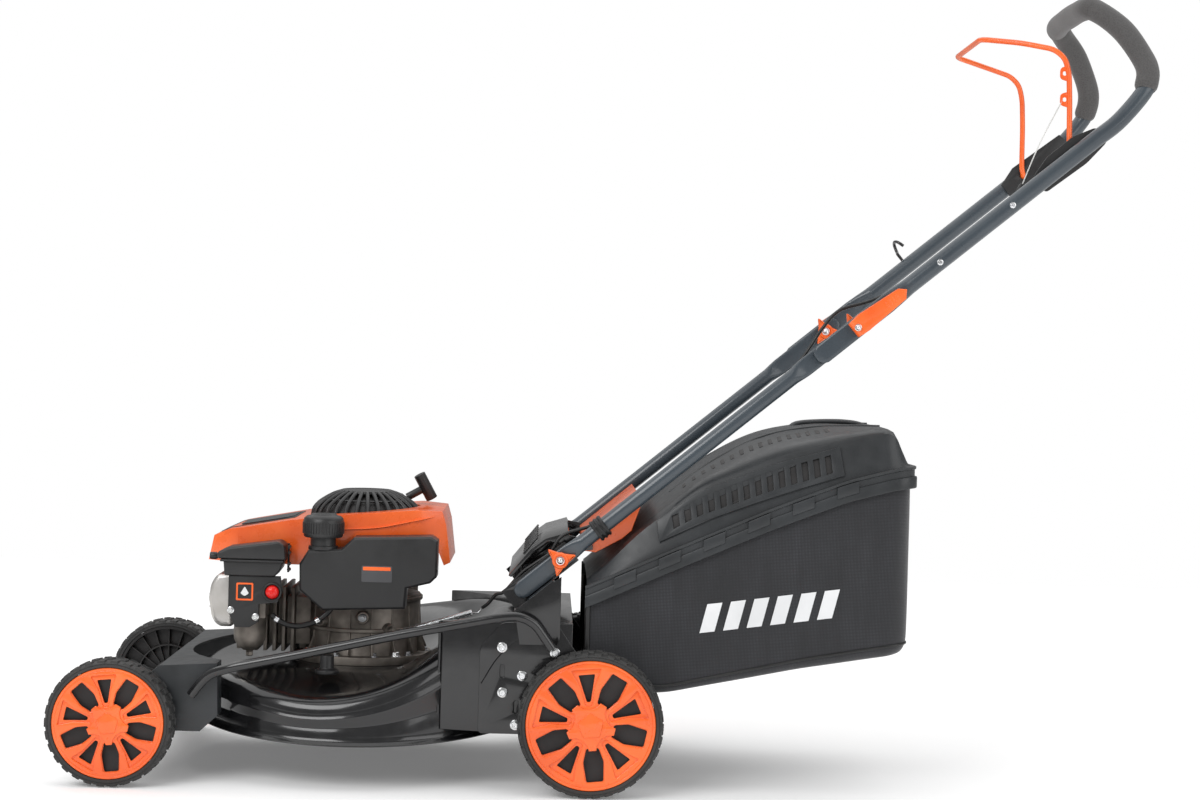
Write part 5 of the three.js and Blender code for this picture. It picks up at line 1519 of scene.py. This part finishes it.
def hood_section(x, drop=0.0, narrow=0.0):
    """Half of the section, from the left rim to the middle, as (y, z)."""
    half = []
    for share in (-0.25, 0, 0.25, 0.5, 0.75, 0.9):
        y, z = hood_wall(x, max(share, 0))
        half.append((y, z + min(share, 0) * 20))
    y1, z1 = hood_wall(x, 1)
    mid = max(hood_mid(x), z1 + 2)
    for k, reach in enumerate((0.0, 0.03, 0.07, 0.12, 0.2, 0.35, 0.5, 0.7, 0.85, 1.0)):
        crown = math.sin(reach * math.pi / 2) ** 0.8
        half.append((y1 * (1 - reach) + 2.5 * (1 - min(k, 2) / 2),
                     z1 - 3 * (1 - min(k, 2) / 2) + (mid - z1) * crown))
    ceiling = rim_low(x) + RIM_TALL - 4
    return [(y * (1 - narrow), min(z, z - drop * max(0, z - ceiling))) for y, z in half]


def hood_shell():
    stations = [(x, 0.0, 0.0) for x in np.linspace(652, 1074, 76)]
    stations += [(1082, 0.07, 0.006), (1088, 0.24, 0.012), (1094, 0.5, 0.018), (1100, 0.76, 0.024),
                 (1106, 0.97, 0.03)]
    rows = []
    for x, drop, narrow in stations:
        half = hood_section(x, drop, narrow)
        rows.append([at(x, y, z) for y, z in [*half, *[(-y, z) for y, z in reversed(half[:-1])]]])
    width = len(rows[0])
    points = [p for row in rows for p in row]
    faces = [(r * width + c, r * width + c + 1, (r + 1) * width + c + 1, (r + 1) * width + c)
             for r in range(len(rows) - 1) for c in range(width - 1)]
    faces.append(tuple(range(width)))
    faces.append(tuple(range(len(points) - width, len(points))))
    faces = faces[:-2]
    shell = build("hood_shell", points, faces, math.radians(40))
    wall = shell.modifiers.new("wall", "SOLIDIFY")
    wall.thickness = 2.6 * MM
    wall.offset = -1
    bake_modifiers(shell)
    return shell


hood_parts.append(hood_shell())

# %% [markdown]
# The vent panels stand on the side walls: a long frame with fourteen slanted slots over a dark backing, a
# sheet of painted shade, so that each slot reads as an opening with a thick edge. The same slots run in two
# rows along the crown, as dark plates of painted shade.


# %% Vents
def on_wall(side, lift):
    """Drawings (u = X, v = share of the wall in hundredths, w outwards) on a side wall."""
    def place(u, v, w):
        y, z = hood_wall(u, v / 100)
        return at(u, side * -1 * (y - (lift + w)), z)
    return place


def vent_low(x):
    return float(np.interp(x, [750, 1012], [34, 16]))


def vent_high(x):
    return float(np.interp(x, [750, 1012], [88, 80]))


vent_shade_sheets = []
for side in (-1, 1):
    frame_ring = [(x, vent_low(x)) for x in np.linspace(752, 1010, 26)]
    frame_ring += [(x, vent_high(x)) for x in np.linspace(1004, 748, 26)]
    slots = []
    for k in range(14):
        x = 772 + 16.4 * k
        low_v, high_v = vent_low(x) + 12, vent_high(x) - 12
        corner = [(x, low_v), (x + 8.5, low_v), (x + 5.5, high_v), (x - 3, high_v)]
        ring = [(corner[a][0] + (corner[(a + 1) % 4][0] - corner[a][0]) * t,
                 corner[a][1] + (corner[(a + 1) % 4][1] - corner[a][1]) * t) for a in range(4) for t in (0,
                     0.5)]
        slots.append(ring)
    hood_parts.append(plate("vent_frame", frame_ring, slots, 3.4, 0.6, on_wall(side, 1.0)))
    # The backing is a dark sheet of painted shade: it stands for the shaded hollow behind each slot.
    inner_ring = [(x, vent_low(x) + 6) for x in np.linspace(762, 1000, 26)]
    inner_ring += [(x, vent_high(x) - 6) for x in np.linspace(996, 758, 26)]
    vent_shade_sheets.append(plate("vent_back", inner_ring, [], 1.2, 0.2, on_wall(side, 0.6)))
shade_sheets = joined("hood_vent_backs", vent_shade_sheets)
claim(shade_sheets, "grass_bag", "dark_inside", "grey_plastic")


def on_crown(x, y):
    """Height of the hood's outer skin at a place on its crown."""
    half = hood_section(x)
    ys, zs = zip(*half)
    return float(np.interp(-abs(y), ys, zs))


# Each crown slot is a thin dark plate laid on the hood: painted shade in the shape of a slot.
crown_slot = plate("crown_slot", rounded_ring([(-3, -13), (3, -13), (3, 13), (-3, 13)], 2), [], 1.6, 0.5,
                   lambda u, v, w: Vector((u, v, w)))
crown_places = []
for y in (-112, 112):
    for k in range(16):
        x = 790 + 13.5 * k
        tilt = math.atan2(on_crown(x + 4, y) - on_crown(x - 4, y), 8)
        roll = math.atan2(on_crown(x, y + 4) - on_crown(x, y - 4), 8)
        crown_places.append((at(x, y, on_crown(x, y) - 1.35), Matrix.Rotation(roll, 3, "X") @
                             Matrix.Rotation(-tilt, 3, "Y"), (MM, MM, MM)))
claim(repeat("hood_crown_slots", crown_slot, crown_places, "dark_inside"), "grass_bag", "dark_inside",
      "grey_plastic")
grab = smooth_path([at(948, 0, on_crown(948, 0) - 8), at(960, 0, on_crown(960, 0) + 1), at(990, 0, 523),
                    at(1030, 0, 524), at(1058, 0, 520), at(1068, 0, 508)], 3)
hood_parts.append(swept("grab_bar", grab, 7, 20, 0.6))
for y in (-64, 64):
    rib = smooth_path([at(x, y, on_crown(x, y) + 0.2) for x in (770, 830, 900, 970, 1040, 1076)], 6)
    hood_parts.append(swept("crown_bead", rib, 3.2, 12, 0.6))
hood = joined("bag_hood_moulding", hood_parts, math.radians(38))
claim(hood, "grass_bag", "grey_plastic", "grey_plastic", "bag_hood")
print("hood faces:", len(hood.data.polygons))

# %% [markdown]
# ## The mesh cloth
# The cloth hangs from the rim, bulges a little where the sides are widest, and sags along its floor. Its
# pattern follows the cloth, so each point gets a UV in metres along and across the weave. Two crossed waves
# make the threads, and long soft streaks show where the weave is stretched.


# %% Cloth finish
def cloth_finish():
    made, tree, skin, _ = new_finish("bag_cloth", 0.72, sheen=0.35)
    cloth_uv = add_node(tree, "ShaderNodeUVMap", {"uv_map": "weave"}).outputs["UV"]
    THREADS = 1000.0
    crossed = []
    for direction in ("X", "Y"):
        wave = add_node(tree, "ShaderNodeTexWave", {"bands_direction": direction, "wave_profile": "SIN"},
                        Vector=cloth_uv, Scale=THREADS / 6.5, Distortion=0.35, Detail=1.0)
        crossed.append(wave.outputs["Fac"])
    weave = add_node(tree, "ShaderNodeMath", {"operation": "MULTIPLY"})
    for k in (0, 1):
        tree.links.new(crossed[k], weave.inputs[k])
    stretch = add_node(tree, "ShaderNodeMapping", Vector=cloth_uv, Scale=(60, 9, 1))
    streak = add_node(tree, "ShaderNodeTexNoise", Vector=stretch.outputs["Vector"], Scale=1.0, Detail=5.0)
    patch = add_node(tree, "ShaderNodeTexNoise", Vector=cloth_uv, Scale=12.0, Detail=3.0)
    light = add_node(tree, "ShaderNodeMath", {"operation": "MULTIPLY"})
    tree.links.new(streak.outputs["Fac"], light.inputs[0])
    tree.links.new(patch.outputs["Fac"], light.inputs[1])
    mixed = add_node(tree, "ShaderNodeMath", {"operation": "MULTIPLY"})
    tree.links.new(light.outputs[0], mixed.inputs[0])
    tree.links.new(weave.outputs[0], mixed.inputs[1])
    tree.links.new(shade(tree, mixed.outputs[0], (0.0065, 0.0068, 0.009), (0.05, 0.052, 0.062), 0.02, 0.42),
                   skin.inputs["Base Color"])
    bump = add_node(tree, "ShaderNodeBump", Height=weave.outputs[0], Strength=0.5, Distance=0.4 * MM)
    tree.links.new(bump.outputs["Normal"], skin.inputs["Normal"])
    return made


FINISH["bag_cloth"] = cloth_finish()


# %% Sewn tub
def cloth_point(x, y, nx, ny, share):
    """A place on the tub's wall; share runs from the rim down to the floor."""
    top, low_z = rim_low(x) + 4, bag_floor(x)
    z = top + share * (low_z - top)
    span_x = max(0.0, math.sin(math.pi * min(max((x - 650) / 470, 0), 1)))
    bulge = 4.5 * math.sin(math.pi * share) * (0.25 + 0.75 * span_x)
    ripple = 1.1 * math.sin(x * 0.11 + 5 * share) * math.sin(math.pi * share)
    ripple += 0.8 * math.sin(y * 0.09 + x * 0.05)
    tuck = 0.0
    if share > 0.9:
        tuck = 16 * (1 - math.sqrt(max(0.0, 1 - ((share - 0.9) / 0.1) ** 2)))
    out = bulge + ripple * 0.6 - tuck - 2.0
    return at(x + nx * out, y + ny * out, z)


def cloth_tub():
    path = rim_path(BAG_SIDE - 2, BACK_X - 2, 34)
    both = outline_both(path)
    normals = path_normals(both)
    shares = [0, 0.06, 0.14, 0.24, 0.36, 0.48, 0.6, 0.7, 0.79, 0.86, 0.9, 0.93, 0.955, 0.975, 0.99, 1.0]
    points, faces, uvs = [], [], []
    travelled = 0.0
    for k, ((x, y), (nx, ny)) in enumerate(zip(both, normals)):
        if k:
            travelled += math.hypot(x - both[k - 1][0], y - both[k - 1][1])
        for share in shares:
            points.append(cloth_point(x, y, nx, ny, share))
            uvs.append((travelled * MM, points[-1].z))
    width = len(shares)
    for k in range(len(both) - 1):
        for j in range(width - 1):
            a, b = k * width + j, (k + 1) * width + j
            faces.append((a, b, b + 1, a + 1))
    across = 16
    first_floor = len(points)
    for k in range(len(path)):
        left, right = points[k * width + width - 1], points[(len(both) - 1 - k) * width + width - 1]
        for j in range(across + 1):
            t = j / across
            spot = left.lerp(right, t)
            spot.z -= 0.005 * math.sin(math.pi * t) * math.sin(math.pi * min(1, k / 44))
            points.append(spot)
            uvs.append((spot.x, spot.y))
    for k in range(len(path) - 1):
        for j in range(across):
            a, b = first_floor + k * (across + 1) + j, first_floor + (k + 1) * (across + 1) + j
            faces.append((a, b, b + 1, a + 1))
    mesh = bpy.data.meshes.new("bag_cloth")
    mesh.from_pydata([tuple(p) for p in points], [], faces)
    layer = mesh.uv_layers.new(name="weave")
    for loop in mesh.loops:
        layer.data[loop.index].uv = uvs[loop.vertex_index]
    work = bmesh.new()
    work.from_mesh(mesh)
    bmesh.ops.remove_doubles(work, verts=work.verts, dist=1e-5)
    bmesh.ops.recalc_face_normals(work, faces=work.faces)
    work.to_mesh(mesh)
    work.free()
    tub = bpy.data.objects.new("bag_cloth_tub", mesh)
    bpy.context.scene.collection.objects.link(tub)
    flat_area = sum(face.area for face in mesh.polygons)
    for kind, name in (("SUBSURF", "round"), ("SOLIDIFY", "cloth")):
        step = tub.modifiers.new(name, kind)
        if kind == "SUBSURF":
            step.levels = step.render_levels = 1
        else:
            step.thickness = 1.2 * MM
            step.offset = -1
    bake_modifiers(tub)
    soften(tub.data, math.radians(60))
    return tub, flat_area


tub, cloth_area = cloth_tub()
claim(tub, "grass_bag", "bag_cloth", "bag_cloth", "bag_fabric")
print("cloth area in square metres:", round(cloth_area, 3))

# %% [markdown]
# A hem binds the cloth at the mouth, a piping covers the sewn lower edge, and plain printed bars decorate
# the side.

# %% Hem, piping and printed bars
mouth_z = (bag_floor(654) + 3, rim_low(654) + 10)
mouth = [at(654, y, z) for y, z in ((-188, mouth_z[1]), (-188, mouth_z[0] + 8), (-178, mouth_z[0]),
                                    (178, mouth_z[0]), (188, mouth_z[0] + 8), (188, mouth_z[1]))]
hem = swept("mouth_frame", rounded_route(mouth, 10), 4.2, 14)
tub_path = outline_both(rim_path(BAG_SIDE - 2, BACK_X - 2, 34))
piping_line = [cloth_point(x, y, nx, ny, 0.93) for (x, y), (nx, ny) in zip(tub_path,
                                                                           path_normals(tub_path))]
piping = swept("lower_piping", piping_line, 2.0, 8)
claim(joined("bag_bindings", [hem, piping]), "grass_bag", "cable_black", "bag_cloth")
bars = []
for side in (-1, 1):
    for k in range(6):
        x, base = 812 + 33 * k, 226 + 4.6 * k
        ring = [(x, base), (x + 21, base + 3), (x + 31, base + 44), (x + 10, base + 41)]
        ring = [(ring[a][0] + (ring[(a + 1) % 4][0] - ring[a][0]) * t, ring[a][1] +
                 (ring[(a + 1) % 4][1] - ring[a][1]) * t) for a in range(4) for t in (0, 0.34, 0.67)]

        def on_cloth(u, v, w, side=side):
            top, low_z = rim_low(u) + 4, bag_floor(u)
            spot = cloth_point(u, -(BAG_SIDE - 2), 0, -1, (top - v) / (top - low_z))
            return Vector((spot.x, -side * (spot.y - (w + 0.1) * MM), spot.z))

        bars.append(plate("print_bar", ring, [], 0.8, 0.1, on_cloth))
claim(joined("bag_printed_bars", bars), "grass_bag", "print_white", "bag_cloth")
print("printed bars:", len(bars))

# %% [markdown]
# ## Plain finishes for the CAD parts that stay
# Parts whose CAD shape is already right, most of them inside or underneath, keep it and only get their
# finish.

# %% Finish the remaining CAD nodes
SLOT_OF = {part["node"]: part["material_slot"] for part in frame["record"]["subparts"]}
kept = [n for n, piece in frame["nodes"].items() if not piece.hide_render]
for node_name in kept:
    piece = frame["nodes"][node_name]
    finish_name = SLOT_OF[node_name] if SLOT_OF[node_name] in FINISH else "black_plastic"
    piece.data.materials.clear()
    piece.data.materials.append(FINISH[finish_name])
print("kept as drawn:", kept)

# %% [markdown]
# ## Compare the size
# The looks must not change the mower's size.

# %% Print the size difference
final_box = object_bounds()
growth = [round(1000 * abs(a - b), 1) for u, v in zip(cad_box, final_box) for a, b in zip(u, v)]
print("millimetres between the two boxes:", growth)
